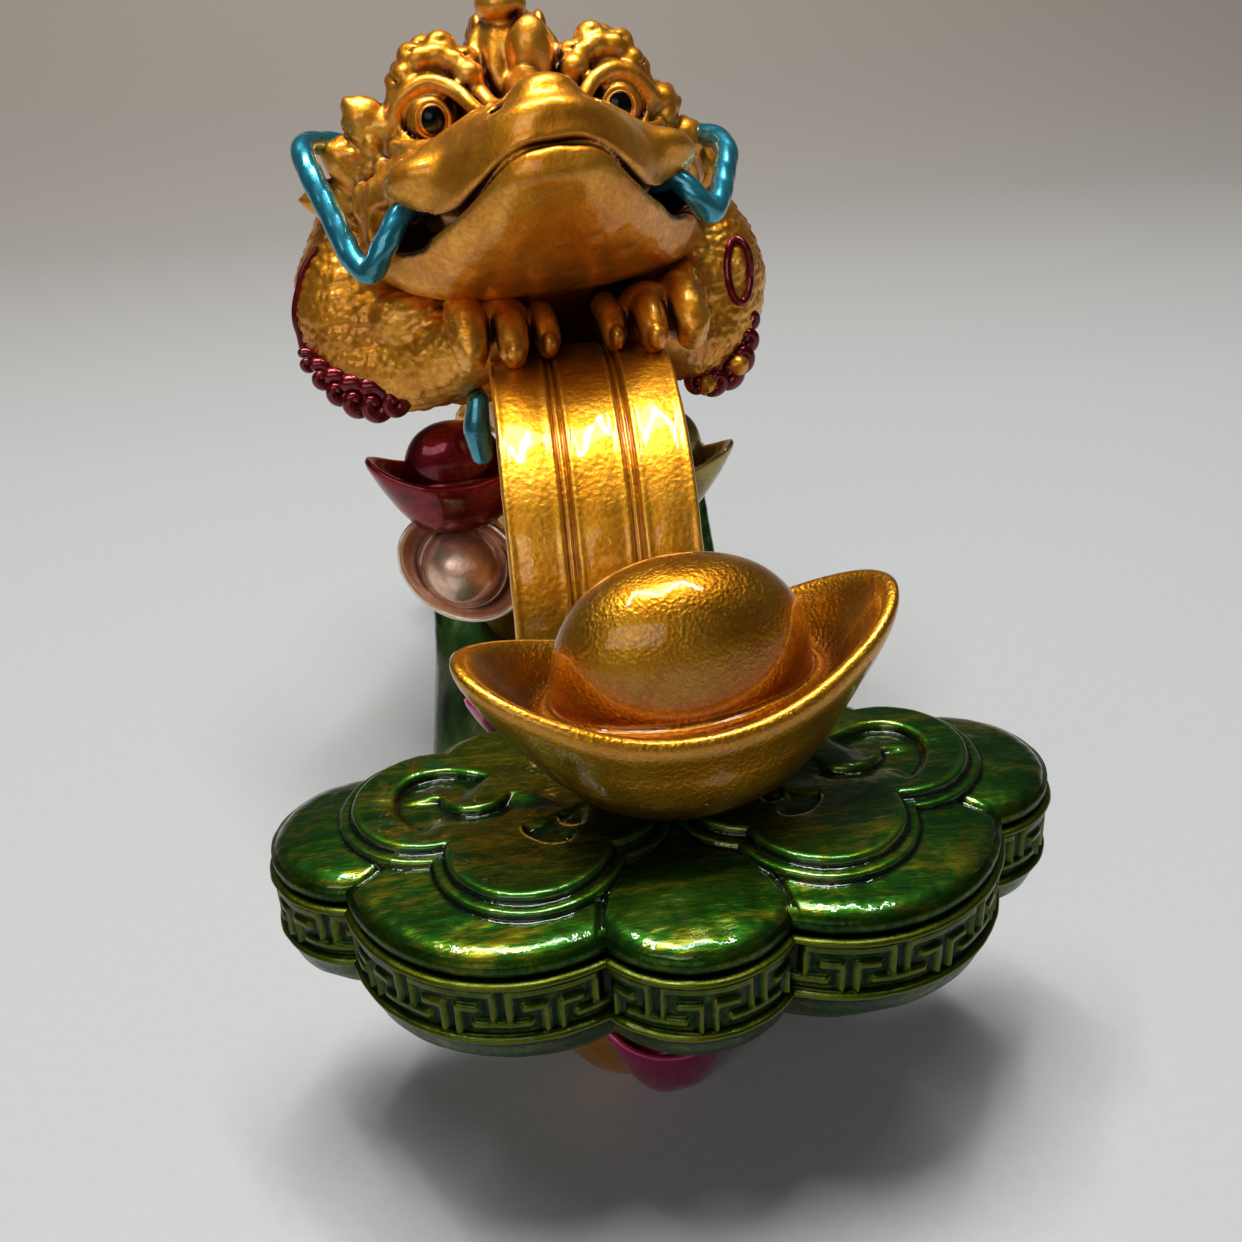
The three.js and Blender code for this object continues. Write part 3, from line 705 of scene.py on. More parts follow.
# The side's profile below and above the fret: height, offset from the outline and share of the plan
BEVEL = [
    (16.0, -2.2, 0.02), (16.0, -2.2, 0.3), (16.0, -2.2, 0.6), (16.02, -2.2, 0.82), (16.1, -2.2, 0.9),
    (16.35, -2.15, 0.93), (16.8, -1.95, 0.945), (17.4, -1.6, 0.96), (18.2, -1.1, 0.98), (19.0, -0.75, 1),
    (19.8, -0.45, 1), (20.4, -0.25, 1), (20.75, -0.12, 1), (20.9, 0.0, 1), (21.02, 0.05, 1),
    (21.18, 0.03, 1), (21.27, -0.12, 1), (21.33, BAND_FLOOR, 1)]
LEDGE = [
    (25.57, BAND_FLOOR, 1), (25.62, -0.15, 1), (25.7, -0.02, 1), (25.84, 0.05, 1), (25.98, 0.0, 1),
    (26.08, -0.12, 1), (26.15, -0.45, 1), (26.2, -0.85, 1), (26.27, -0.95, 1), (26.36, -0.8, 1),
    (26.5, -0.52, 1), (26.7, SLAB_INSET - 0.03, 1), (27.1, SLAB_INSET + 0.02, 1), (27.5, SLAB_INSET, 1),
    (27.85, -1.2, 1)]


def sceptre_side():
    band = [(z, BAND_FLOOR, 1) for z in np.linspace(FRET_LOW, FRET_HIGH, BAND_ROWS)]
    rows = []
    for z, offset, share in BEVEL + band + LEDGE:
        points, out, along = lobe_arcs(offset + OUTLINE_TRIM)
        if FRET_LOW <= z <= FRET_HIGH:
            raised = fret(along, (z - FRET_LOW) / (FRET_HIGH - FRET_LOW))
            points = points + out * (raised * FRET_RAISE)[..., None]
        rows.append(np.concatenate([points * share, np.full(points.shape[:2] + (1,), z)], -1))
    rows = np.array(rows)
    quads = grid_faces(rows.shape[0], SIDE_STEPS + 1)
    points, faces = merged([(rows[:, k].reshape(-1, 3), quads) for k in range(rows.shape[1])])
    painted_light = hollows(points, faces, 0.09, 4)
    # Painted shade: the slab's side above the ledge a little darker and the bevel under the band much darker,
    # with no painted edge highlight there.
    for beyond, more in ((points[:, 2] > FRET_HIGH + 0.7, 0.15), (points[:, 2] < FRET_LOW - 0.6, 0.4)):
        painted_light = np.where(beyond, np.clip(painted_light + more, 0, 1), painted_light)
    points = weathered(points, faces, (0.04, 1.1, 3))
    make("sceptre_side", points, faces, band_green, "green_lacquer", painted_light)


# Carved lines of the cloud scrolls, left half: stops, which side dips, depth and how far the dip runs
SCROLL_LINES = [
    ([(-13.2, 3.9), (-14.9, 4.6), (-17.2, 5.4), (-19.4, 4.9), (-20.6, 3.2), (-20.5, 1.0), (-19.4, -0.9),
      (-17.9, -2.4)], 1, 0.82, 2.6),
    ([(-17.4, 2.6), (-17.3, 1.4), (-16.1, 0.3), (-14.6, -0.1), (-12.9, 0.3), (-11.6, 2.0)], -1, 0.72, 2.2),
    ([(-11.2, -2.2), (-10.9, -3.4), (-9.8, -4.6), (-8.3, -4.9), (-7.4, -4.3)], 1, 0.66, 1.5),
    ([(-9.6, 8.2), (-8.6, 8.9), (-7.2, 8.8), (-6.2, 8.0)], -1, 0.4, 1.2),
    ([(-8.6, -1.6), (-8.0, -2.9), (-6.6, -3.2)], 1, 0.4, 1.2),
]


def carving(x, y):
    """Depth of the scrolls' carved steps."""
    total = np.zeros(np.broadcast(x, y).shape)
    across = -np.abs(x)
    for stops, side, depth, run in SCROLL_LINES:
        line = spline([(a, b, 0) for a, b in stops], 60)[:, :2]
        best = np.full(total.shape, 99.0)
        signed = np.zeros(total.shape)
        fade = np.zeros(total.shape)
        for k in range(len(line) - 1):
            a, d = line[k], line[k + 1] - line[k]
            length = np.hypot(*d)
            h = ((across - a[0]) * d[0] + (y - a[1]) * d[1]) / length ** 2
            h = np.clip(h, 0, 1)
            px, py = across - a[0] - d[0] * h, y - a[1] - d[1] * h
            away = np.hypot(px, py)
            near = away < best
            best = np.where(near, away, best)
            signed = np.where(near, side * (d[0] * py - d[1] * px) / length, signed)
            t = (k + h) / (len(line) - 1)
            fade = np.where(near, ease(0, 0.16, t) * ease(1, 0.84, t), fade)
        inside = ease(-0.14, 0.1, signed) * np.exp(-np.maximum(signed, 0) / run)
        groove = np.exp(-(best / 0.2) ** 2) * 0.35
        total = total + depth * fade * np.maximum(inside * (best < 3 * run), groove)
    return total


def lobe_reach(x, y, offset):
    """How far inside the outline a point is, the tallest lobe's dome there, and how near a seam of two."""
    inside, dome, second = -99.0, -99.0, -99.0
    for cx, cy, r in ALL_LOBES:
        away = np.sqrt((x - cx) ** 2 + (y - cy) ** 2)
        here, rise = r + offset - away, 1 - (away / r) ** 2
        inside = np.maximum(inside, here)
        second = np.maximum(second, np.minimum(dome, rise))
        dome = np.maximum(dome, rise)
    return inside, np.maximum(dome, 0), np.exp(-((dome - second) / 0.07) ** 2)


def scroll_reach(x, y):
    best = None
    for cx, cy, r in SCROLL_LOBES:
        here = r - np.sqrt((np.abs(x) - cx) ** 2 + (y - cy) ** 2)
        best = here if best is None else np.maximum(best, here)
    return best


def cloud_top(top, plateau):
    """The upper side as a distance: domed lobes, and the raised scrolls with their carved steps."""
    def distance(x, y, z):
        inside, dome, seam = lobe_reach(x, y, SLAB_INSET + OUTLINE_TRIM)
        over = soft_max(z - (top - 0.7 + 0.75 * dome - 0.35 * seam), -inside, 1.7)
        reach = scroll_reach(x, y)
        height = top + plateau - 0.02 * reach - carving(x, y)
        over = np.minimum(over, soft_max(z - (top + 0.3 * plateau), -(reach + 0.95), 0.35))
        raised = soft_max(z - height, -reach, 0.55)
        return np.minimum(over, raised).astype(np.float32)
    return distance


def sharpened(distance, low, high, step, rounds):
    """A mesh whose points are moved onto the exact zero level of a distance function."""
    clay = Clay(low, high, step)
    clay.field = distance(*clay.grid())
    field, corner = clay.whole()
    points, faces = surface(field, corner, step)
    probe, furthest = 0.04, 0.12
    for _ in range(rounds):
        value = distance(*points.T)
        slope = np.stack([
            distance(*(points + way).T) - distance(*(points - way).T) for way in probe * np.eye(3)], -1)
        slope = slope / (2 * probe)
        size = np.maximum((slope ** 2).sum(1), 0.3)
        move = slope * (value / size)[:, None]
        far = np.linalg.norm(move, axis=1)
        points = points - move * np.minimum(1, furthest / np.maximum(far, 1e-9))[:, None]
    return points, faces


def sceptre_top():
    low, high = (-31.2, -18.6, 27.1), (31.2, 15.6, 30.4)
    points, faces = sharpened(cloud_top(HEAD_TOP, PLATEAU_HEIGHT), low, high, HEAD_TOP_STEP, 3)
    points = weathered(points, faces, (0.05, 1.5, 5), (0.02, 0.6, 6))
    make("sceptre_top", points, faces, green, "green_lacquer", hollows(points, faces, 0.08, 4))


def handle_line():
    lie = HANDLE_THICKNESS / 2 - 0.3
    under = BAND_BOTTOM - HANDLE_THICKNESS * 0.15
    rise = COIN_Y + 24
    return [
        (0, 4, under), (0, 15, under - 0.6), (HANDLE_X * 0.3, 24, lerp(lie, under, 0.62)),
        (HANDLE_X * 0.7, 33, lerp(lie, under, 0.14)), (HANDLE_X, COIN_Y - 3, lie),
        (HANDLE_X, COIN_Y + 10, lie), (HANDLE_X, rise, lie),
        (HANDLE_X, lerp(rise, TAIL_Y, 0.5), lerp(lie, TAIL_HEIGHT, 0.32)), (HANDLE_X, TAIL_Y, TAIL_HEIGHT)]


def handle():
    """A flat bar with rounded corners along the handle's line."""
    rows, columns = 200, 96
    line = spline(handle_line(), 600)
    length = travelled(line)
    line = columns_at(np.linspace(0, length[-1], rows), length, line)
    along = np.gradient(line, axis=0)
    along = along / np.linalg.norm(along, axis=1)[:, None]
    across = np.array([1.0, 0, 0])
    up = np.cross(across, along)
    up = up / np.linalg.norm(up, axis=1)[:, None]
    t = np.linspace(0, 1, rows)
    half = HANDLE_WIDTH / 2 * np.interp(t, [0, 0.15, 1], [0.72, 1, 1])
    angle = 2 * np.pi * (np.arange(columns) + 0.5) / columns
    c, s = np.cos(angle), np.sin(angle)
    squareness = 0.36
    px = -np.sign(c) * np.abs(c) ** squareness
    pz = np.sign(s) * np.abs(s) ** squareness
    crown = 1 - 0.06 * px ** 2
    points = line[:, None] + half[:, None, None] * px[None, :, None] * across
    points = points + HANDLE_THICKNESS / 2 * (pz * crown)[None, :, None] * up[:, None]
    points = points.reshape(-1, 3)
    faces = grid_faces(rows, columns, wrap=True)[:, ::-1]
    points = points + 0.08 * noise(points * [1, 0.2, 1], 0.9, 7)[:, None] * normals(points, faces)
    points[:, 2] = np.maximum(points[:, 2], FLOOR_HEIGHT)
    make("handle", points, faces, handle_green, "green_lacquer", hollows(points, faces, 0.06))


def tail():
    """The tail's end: a smaller, plainer cloud, tilted with the handle."""
    half = HANDLE_THICKNESS * 0.62
    top = cloud_top(half - 0.9, 0.8)

    def distance(x, y, z):
        inside = lobe_reach(x, y, TAIL_TRIM)[0]
        lower = soft_max(-z - half, -inside, 2.2)
        return soft_max(lower, top(x, y, z), 0.6).astype(np.float32)

    low, high = (-31.2, -18.8, -half - 1), (31.2, 16.2, half + 1)
    points, faces = sharpened(distance, low, high, TAIL_STEP, 2)
    painted_light = hollows(points, faces, 0.1)
    place = placing(HANDLE_X, TAIL_Y, TAIL_HEIGHT, TAIL_TILT, 0, 180, TAIL_SCALE)
    make("tail", put(points, place), faces, green, "green_lacquer", painted_light)


# Coins

# The rim of a coin and the groove beside it: distance in from the face, and drop from the radius
COIN_EDGE = [(0.02, 0.42), (0.1, 0.2), (0.24, 0.08), (0.42, 0.03), (0.6, 0.06), (0.78, 0.09)]
GROOVE_EDGE = [(-0.4, 0.34), (-0.26, 0.34), (-0.14, 0.6)]
# Rings of points on an outer face, and a small ring of spilt paint: its place, radius and width
COIN_RINGS = np.concatenate([
    np.linspace(0.01, 3.8, 6), np.linspace(4.0, 9.8, 36), np.linspace(10.4, COIN_RADIUS - 0.7, 22)])
SPILL_AT, SPILL_RADIUS, SPILL_WIDTH = (-0.95, COIN_Y - 22.2, COIN_MIDDLE + 5.4), 1.0, 0.28


def coin_profile(start, end, left_out, right_out):
    """(x, radius) from one face over the rim to the other; an outer face runs to the middle."""
    left = GROOVE_EDGE + COIN_EDGE if not left_out else COIN_EDGE
    right = GROOVE_EDGE + COIN_EDGE if not right_out else COIN_EDGE
    profile = [(start, r) for r in COIN_RINGS] if left_out else []
    profile += [(start + x, COIN_RADIUS - drop) for x, drop in left]
    for t in np.linspace(0, 1, 15):
        crown = 0.09 * (1 - (2 * t - 1) ** 2)
        profile.append((lerp(start + 0.95, end - 0.95, t), COIN_RADIUS - 0.1 + crown))
    profile += [(end - x, COIN_RADIUS - drop) for x, drop in reversed(right)]
    return np.array(profile + ([(end, r) for r in COIN_RINGS[::-1]] if right_out else []))


def coins():
    angle = turns(COIN_AROUND)
    centre = np.array([COIN_X, COIN_Y, COIN_MIDDLE])
    parts = []
    for k in range(COIN_COUNT):
        start = -STACK_HALF + k * (COIN_WIDTH + COIN_GROOVE)
        end = start + COIN_WIDTH
        left_out, right_out = k == 0, k == COIN_COUNT - 1
        profile = coin_profile(start, end, left_out, right_out)
        at, radius = profile[:, :1], profile[:, 1:]
        y = radius * np.sin(angle)
        z = -radius * np.cos(angle)
        outer = (at == start) & left_out | (at == end) & right_out
        face = (radius <= COIN_RADIUS - 0.69) & outer
        side = np.where(at == start, 1.0, -1.0)
        square = np.maximum(np.abs(y), np.abs(z))
        dish = ease(COIN_RADIUS - COIN_RIM + 0.3, COIN_RADIUS - COIN_RIM - 0.3, radius) * 0.6
        dish = lerp(dish, 0.12, ease(COIN_HOLE / 2 + 1.9, COIN_HOLE / 2 + 1.4, square))
        dish = lerp(dish, 1.5, ease(COIN_HOLE / 2 + 0.2, COIN_HOLE / 2 - 0.25, square))
        x = at + np.where(face, side * dish, 0)
        points = np.stack([x, y, z], -1).reshape(-1, 3)
        parts.append((points + centre, grid_faces(len(profile), COIN_AROUND, wrap=True)))
    points, faces = merged(parts)
    out = normals(points, faces)
    points = points + 0.035 * noise(points, 1.5, 11)[:, None] * out
    away = np.linalg.norm(points - np.array(SPILL_AT), axis=1)
    points = points + out * (0.12 * np.exp(-((away - SPILL_RADIUS) / SPILL_WIDTH) ** 2))[:, None]
    make("coins", points, faces, coin_gold, "antique_gold", hollows(points, faces, 0.12, 3))


# Ingots

# An ingot from its foot's middle to its dome's foot: shares of half the length, half the breadth, the height
# and the tips' rise
INGOT_PROFILE = np.array([
    (INGOT_FOOT * 0.02, 0.02, 0, 0), (INGOT_FOOT * 0.6, 0.33, 0, 0), (INGOT_FOOT * 0.93, 0.49, 0, 0),
    (INGOT_FOOT * 1.03, 0.53, 0.015, 0.02), (0.58, 0.64, 0.075, 0.12), (0.7, 0.76, 0.16, 0.3),
    (0.83, 0.87, 0.27, 0.56), (0.93, 0.95, 0.37, 0.8), (0.985, 0.99, 0.435, 0.95), (1, 1, 0.47, 1),
    (0.995, 0.99, 0.502, 1), (0.965, 0.955, 0.518, 0.97), (0.925, 0.895, 0.512, 0.9),
    (0.885, 0.84, 0.486, 0.78), (0.82, 0.79, 0.45, 0.56), (0.74, 0.762, 0.42, 0.28),
    (0.675, 0.746, 0.426, 0.08), (0.645, 0.735, 0.45, 0.02), (0.625, 0.728, 0.472, 0),
    (0.605, 0.716, 0.468, 0), (0.595, 0.71, 0.456, 0)])
INGOT_DECK, INGOT_RISE, DOME_ROUNDNESS = 0.46, 0.25, 2.4


def ingot_points(length, height, grid, breadth=INGOT_BREADTH):
    """A boat-shaped ingot with a rounded rim, a sunk deck and a domed middle."""
    around, rows = grid
    half = length / 2
    depth = half * breadth
    deck = INGOT_DECK * height
    profile = INGOT_PROFILE * [half, depth, height, INGOT_RISE * height]
    count = rows * 2 // 3
    places = np.arange(len(profile))
    profile = columns_at(np.linspace(0, places[-1], count * 8), places, profile)
    kernel = np.ones(9) / 9
    padded = np.pad(profile, ((4, 4), (0, 0)), mode="edge")
    profile = np.stack([np.convolve(column, kernel, "valid") for column in padded.T], -1)
    travel = travelled(profile * [1, 1, 1, 0.4])
    profile = columns_at(np.linspace(0, travel[-1], count), travel, profile)
    tilt = np.linspace(0, np.pi / 2, rows - count + 1)[1:]
    share = np.cos(tilt) ** (2 / DOME_ROUNDNESS)
    share[-1] = 0.003
    up = deck + (height - deck) * np.sin(tilt) ** (2 / DOME_ROUNDNESS)
    dome = np.stack([share * 0.594 * half, share * 0.708 * depth, up, 0 * tilt], -1)
    profile = np.vstack([profile, dome])
    angle = turns(around)
    x = profile[:, :1] * np.cos(angle)
    y = profile[:, 1:2] * np.sin(angle)
    z = profile[:, 2:3] + profile[:, 3:] * np.abs(np.cos(angle)) ** 2.2
    return np.stack([x, y, z], -1).reshape(-1, 3), grid_faces(len(profile), around, wrap=True)


def large_ingot():
    half = INGOT_LENGTH / 2
    foot = INGOT_FOOT * half * np.sin(np.radians(abs(INGOT_LEAN)))
    points, faces = ingot_points(INGOT_LENGTH, INGOT_HEIGHT, LARGE_INGOT_GRID)
    across, beside, up = points.T / [[half], [half * INGOT_BREADTH], [INGOT_HEIGHT]]
    painted_light = hollows(points, faces, 0.1, 4)
    # Painted shade: the dome darkened towards its foot, with no painted edge highlight on it.
    on_dome = (np.abs(across) < 0.6) & (up > 0.47) & (normals(points, faces)[:, 2] > -0.2)
    on_dome &= np.hypot(across / 0.6, beside / 0.74) < 1
    painted_light = np.where(on_dome, np.clip(painted_light, 0, 1) + 0.55 * ease(0.8, 0.48, up), painted_light)
    middle = np.clip(1 - across ** 2, 0, 1)
    points[:, 2] -= RIM_SAG * ease(0.6, 0.98, np.abs(beside)) * ease(0.1, 0.4, up) * middle
    points[:, 1] *= SIDE_FULLNESS + FOOT_FULLNESS * ease(0.42, 0.0, up)
    points = put(points, placing(
        INGOT_X + INGOT_SHIFT[0], INGOT_Y + INGOT_SHIFT[1], PLATEAU_TOP + GLUE_GAP + foot,
        0, INGOT_LEAN + INGOT_LESS_LEAN, INGOT_TURN))
    points = weathered(points, faces, (0.012, 1.8, 21))
    make("large_ingot_dressed", points, faces, ingot_gold, "bright_gold", painted_light, node="large_ingot")


def small_ingots():
    """Those that carry the sceptre head, and the heap: name, paint, length, height and place."""
    left = COIN_X - COIN_WIDTH * COIN_COUNT / 2
    right = COIN_X + COIN_WIDTH * COIN_COUNT / 2
    top = HANDLE_THICKNESS
    back = COIN_Y + COIN_RADIUS
    facing = placing(left - 6.4, COIN_Y + 20.4, top + 11.5, 66) @ placing(0, 0, 0, 0, 0, -34)
    gold, pink, red = (coin_gold, "antique_gold"), (magenta, "magenta_lacquer"), (crimson, "crimson_lacquer")
    pale, dull = (rose, "rose_gold"), (olive, "olive_gold")
    heap = [
        ("gold_ingot_under_head", gold, 20, HEAD_BOTTOM + 1.5, placing(-3.2, 2.0, 0)),
        ("magenta_ingot_under_head", pink, 12.5, 11, placing(-0.4, -1.3, 0, 0, 0, 8)),
        ("ingot_behind_head", pink, 18, 9, placing(-7, 23.5, 17.5, -24)),
        ("rose_ingot", pale, 16, 12, facing),
        ("crimson_ingot", red, 20, 12.6, placing(left - 6, COIN_Y + 15, top + 19.5, 0, 0, 8)),
        ("olive_ingot", dull, 17, 13, placing(right + 1.5, COIN_Y + 17, top + 18, 0, 6, -14)),
        ("pink_ingot", pink, 19, 13, placing(right + 3, COIN_Y + 14, top - 1, 0, 0, -20)),
        ("gold_ingot_left_back", gold, 24, 17, placing(HANDLE_X - 7.5, back + 6, top - 3, -8, 0, 82)),
        ("rose_ingot_right_back", pale, 22, 15, placing(HANDLE_X + 8, back + 6, top - 3, -6, 0, -80)),
        ("gold_ingot_back", gold, 24, 17, placing(HANDLE_X, back + 1, top + 9, 0, 0, 6))]
    for name, (material, slot), length, height, place in heap:
        breadth = ROUND_BREADTH if name == "rose_ingot" else INGOT_BREADTH
        points, faces = ingot_points(length, height, SMALL_INGOT_GRID, breadth)
        painted_light = hollows(points, faces, 0.18, 3)
        points = weathered(put(points, place), faces, (0.05, 1.6, 31))
        points[:, 2] = np.maximum(points[:, 2], FLOOR_HEIGHT)
        make(name, points, faces, material, slot, painted_light)


# Toad

TOAD = placing(TOAD_X, COIN_Y, COIN_TOP, 0, 0, TOAD_TURN, UNIT)
NECK = placing(0, 6, 26, -HEAD_PITCH)
HEAD = TOAD @ NECK
FROM_TOAD = np.linalg.inv(NECK)

# Sections across the head from lip to neck: place, half-width, height above and depth below the mouth line
HEAD_SECTIONS = [
    (-31.6, 0.8, 2, 0.6), (-31, 3.4, 3.6, 1.4), (-29.6, 6.2, 6, 3.0), (-26, 11.2, 8.6, 5.6),
    (-19, 17.6, 12, 8.6), (-10, 23.6, 16, 10.8), (0, 30, 21, 12.2), (5, 33.6, 23.2, 12.2),
    (12, 35.4, 25.4, 9.2), (20, 34.6, 26.4, 5.4), (30, 29, 24, 2.4), (38, 20, 18, 1.6), (44, 8, 9, 1)]
# The mouth line and the lip's ridge above it, from the middle outward: across, back and up
MOUTH = [
    (-5, -28.4, 0), (0, -29.4, 0.2), (5, -28.4, 0), (9, -25.2, -0.9), (13, -20.8, -2.8), (17, -15.4, -4.1),
    (21, -9.2, -4.1), (25, -2.8, -3.2), (29, 3.4, -2.2), (33, 9.6, -1.4), (36, 15, -1)]
RIDGE = [
    (-5, -28.2, 5.8), (0, -29.2, 6.1), (5, -28.2, 5.8), (9, -25, 4.9), (13, -20.6, 3.2), (17, -15.2, 2.0),
    (21, -9.2, 2.4), (25, -3, 4.6), (29, 3, 7.6), (33, 9, 9)]
EYE = (18.3, 3.2, 21.6)
EYE_RADIUS = 5.5
EYE_SIGHT = (0, -0.91, -0.41)
UPPER_LID = [
    (27, 6, 19), (25.4, 1.6, 22.8), (22.4, -0.6, 25.6), (18.3, -1.6, 26.8), (13.6, -2.6, 24.4),
    (10.4, -5, 19.4), (8, -8.4, 15.6)]
LOWER_LID = [
    (26.6, 4.4, 18), (26, 0.6, 15.8), (22.6, -3.0, 13.6), (18.4, -4.8, 13.0), (13.6, -6.4, 13.8),
    (8.6, -8.6, 15.2)]
BROW = [
    (25.4, 3, 21.6), (24.2, 0.6, 26), (21.6, -0.8, 30.4), (17.6, -1.6, 32.6), (13.6, -1.8, 31.8),
    (10.8, -2.2, 28.6), (9, -3.6, 24.8), (6.6, -6, 20.4)]
# Lumps over the brow: place and size
BROW_LUMPS = [
    ((14.8, 0.4, 34.6), 3.3), ((20.6, 1.0, 33.4), 3.0), ((10.4, 0.8, 32.0), 2.6), ((24.0, 2.6, 29.2), 2.4),
    ((17.8, 4.2, 36.0), 3.3), ((22.4, 5.2, 32.6), 2.8)]
# Crest, in the toad's frame: stacked lobes, side frills from tip to base, and petals with their radius
CREST_LOBES = [
    ((0, 33, 48), (6, 10.4, 12.6)), ((0, 44, 54), (6.2, 9.6, 12.2)), ((0, 58, 46), (5.2, 8.6, 11.6))]
FRILLS = [
    ((-34.2, 23, 47.2), (-26, 24, 36)), ((-40.5, 24, 38.5), (-29, 25, 31)), ((-46, 27, 29), (-31, 27, 25)),
    ((30, 23, 45.4), (23.6, 24, 35)), ((37, 24, 37), (27, 25, 30)), ((42.6, 27, 29.4), (30, 27, 25))]
PETALS = [
    ([(-0.6, 19.6, 43.6), (-5.4, 21.4, 46), (-8.0, 24, 50.4), (-7.6, 26.6, 55), (-4.8, 29, 58.8)], 2.1),
    ([(0.4, 18.6, 43.6), (-3.0, 19.6, 46.4), (-4.8, 21.0, 50.6), (-4.2, 23.2, 55), (-2.2, 25.4, 58.6)], 2.0),
    ([(3, 19.6, 43.6), (6.8, 21.8, 46.4), (7.4, 24.4, 51), (6.4, 26.8, 55.4), (3.2, 29, 58.8)], 1.9)]


def in_head(point):
    return tuple(put(np.array([point], float), FROM_TOAD)[0])


def moved(line, dx=0.0, dy=0.0, dz=0.0):
    return [(x + dx, y + dy, z + dz) for x, y, z in line]


def section(column, y):
    return table(HEAD_SECTIONS, column, y[0, :, 0])[None, :, None]


def skull(x, y, z):
    width, up = section(1, y), section(2, y)
    rise = np.where(z > 2, (z - 2) / up, (2 - z) / 12)
    near = (np.abs(x / width) ** 2.5 + np.abs(rise) ** 2.2) ** (1 / 2.35)
    return soft_max((near - 1) * np.minimum(width, np.where(z > 2, up, 12.0)), -30.2 - y, 2.0)


def chin(x, y, z):
    width, down = np.maximum(0.965 * section(1, y) - 0.6, 0.4), section(3, y)
    drop = np.where(z < -2, (-2 - z) / down, (z + 2) / 12)
    near = (np.abs(x / width) ** 3.0 + drop ** 2.1) ** (1 / 2.5)
    return soft_max((near - 1) * np.minimum(width, np.where(z < -2, down, 12.0)), -29.4 - y, 2.0)


def face(clay, corner):
    """Snout, cheeks and jaws round the open mouth."""
    x, y, z = clay.grid()
    mouth = table(MOUTH, 2, np.abs(x[:, 0, 0]))[:, None, None]
    upper, under = skull(x, y, z), chin(x, y, z)
    clay.field = soft_max(upper, mouth + 0.45 - z, 1.6).astype(np.float32)
    clay.mix(ball((18.5, -8, 21.5), (10.5, 10.5, 8.6)), 3.0, cut=True)
    clay.mix(ball((21.8, -8, 5.0), (7.6, 8.4, 4.6), (0, 0, -55)), 3.0)
    clay.mix(limb(RIDGE, [2.1, 2.1, 2.1, 2.1, 2.1, 2.0, 2.0, 2.2, 2.6, 2.6], 40), 2.4)
    clay.mix(ball((0, -23.6, 10.6), (6.4, 6.2, 4.0)), 2.6)
    clay.mix(limb([(0, -19, 12.6), (0, -8, 20.4), (0, 4, 28)], [3.0, 3.4, 4.2], 6), 3.0)
    clay.mix(ball((8.4, -23.0, 9.0), (1.3, 2.4, 1.0)), 0.8, cut=True)
    jaw = soft_max(under, z - mouth + 0.75, 1.2)
    core = np.maximum(np.minimum(upper, under) + 2.2, np.abs(z) - 6)
    clay.field = np.minimum(np.minimum(clay.field, jaw), core).astype(np.float32)
    clay.mix(limb(moved(MOUTH, -0.7, 1.0, -1.9), [1.2] * 11, 40), 1.2)
    opening = [(16.5, -14.5, -4.2), (20.5, -9.4, -3.0), (25, -4.6, -0.8), (31, 2, 2)]
    clay.mix(limb(opening, [0.4, 1.9, 3.5, 3.8], 12), 0.9, cut=True)
    clay.mix(corner, 0.8, cut=True)


def eyes_and_brows(clay):
    clay.mix(ball((19, 7.4, 21.3), (8.8, 8, 7.8)), 2.0)
    clay.mix(ball(EYE, (EYE_RADIUS + 0.6,) * 3), 0.8, cut=True)
    clay.mix(ball(EYE, (EYE_RADIUS,) * 3), 0.25)
    clay.mix(limb(UPPER_LID, [1.2, 1.5, 1.7, 1.8, 1.6, 1.4, 1.0], 18), 1.0)
    clay.mix(limb(LOWER_LID, [1.1, 1.25, 1.3, 1.3, 1.2, 0.9], 18), 1.1)
    clay.mix(limb(moved(BROW, 0, 3.0, -0.2), [1.8, 2.6, 3.0, 3.2, 3.0, 2.8, 2.2, 1.4], 18), 1.4)
    clay.mix(ball((17.4, 3.4, 28.8), (6.8, 4.0, 4.6)), 1.6)
    for (x, y, z), size in zip(spline(BROW, 9)[2:7], (2.7, 3.1, 2.8, 2.7, 3.1)):
        clay.mix(ball((x, y + 1.1, z), (size, size, size * 0.9)), 1.0)
    for (x, y, z), size in BROW_LUMPS:
        clay.mix(ball((x, y, z), (size, size, size)), 0.8)
        crease = [
            (x - 1.6, y - size * 0.86, z + 0.6), (x + 0.2, y - size * 1.05, z - 0.6),
            (x + 1.5, y - size * 0.9, z + 0.5)]
        clay.mix(limb(crease, [0.42, 0.5, 0.42], 4), 0.5, cut=True)


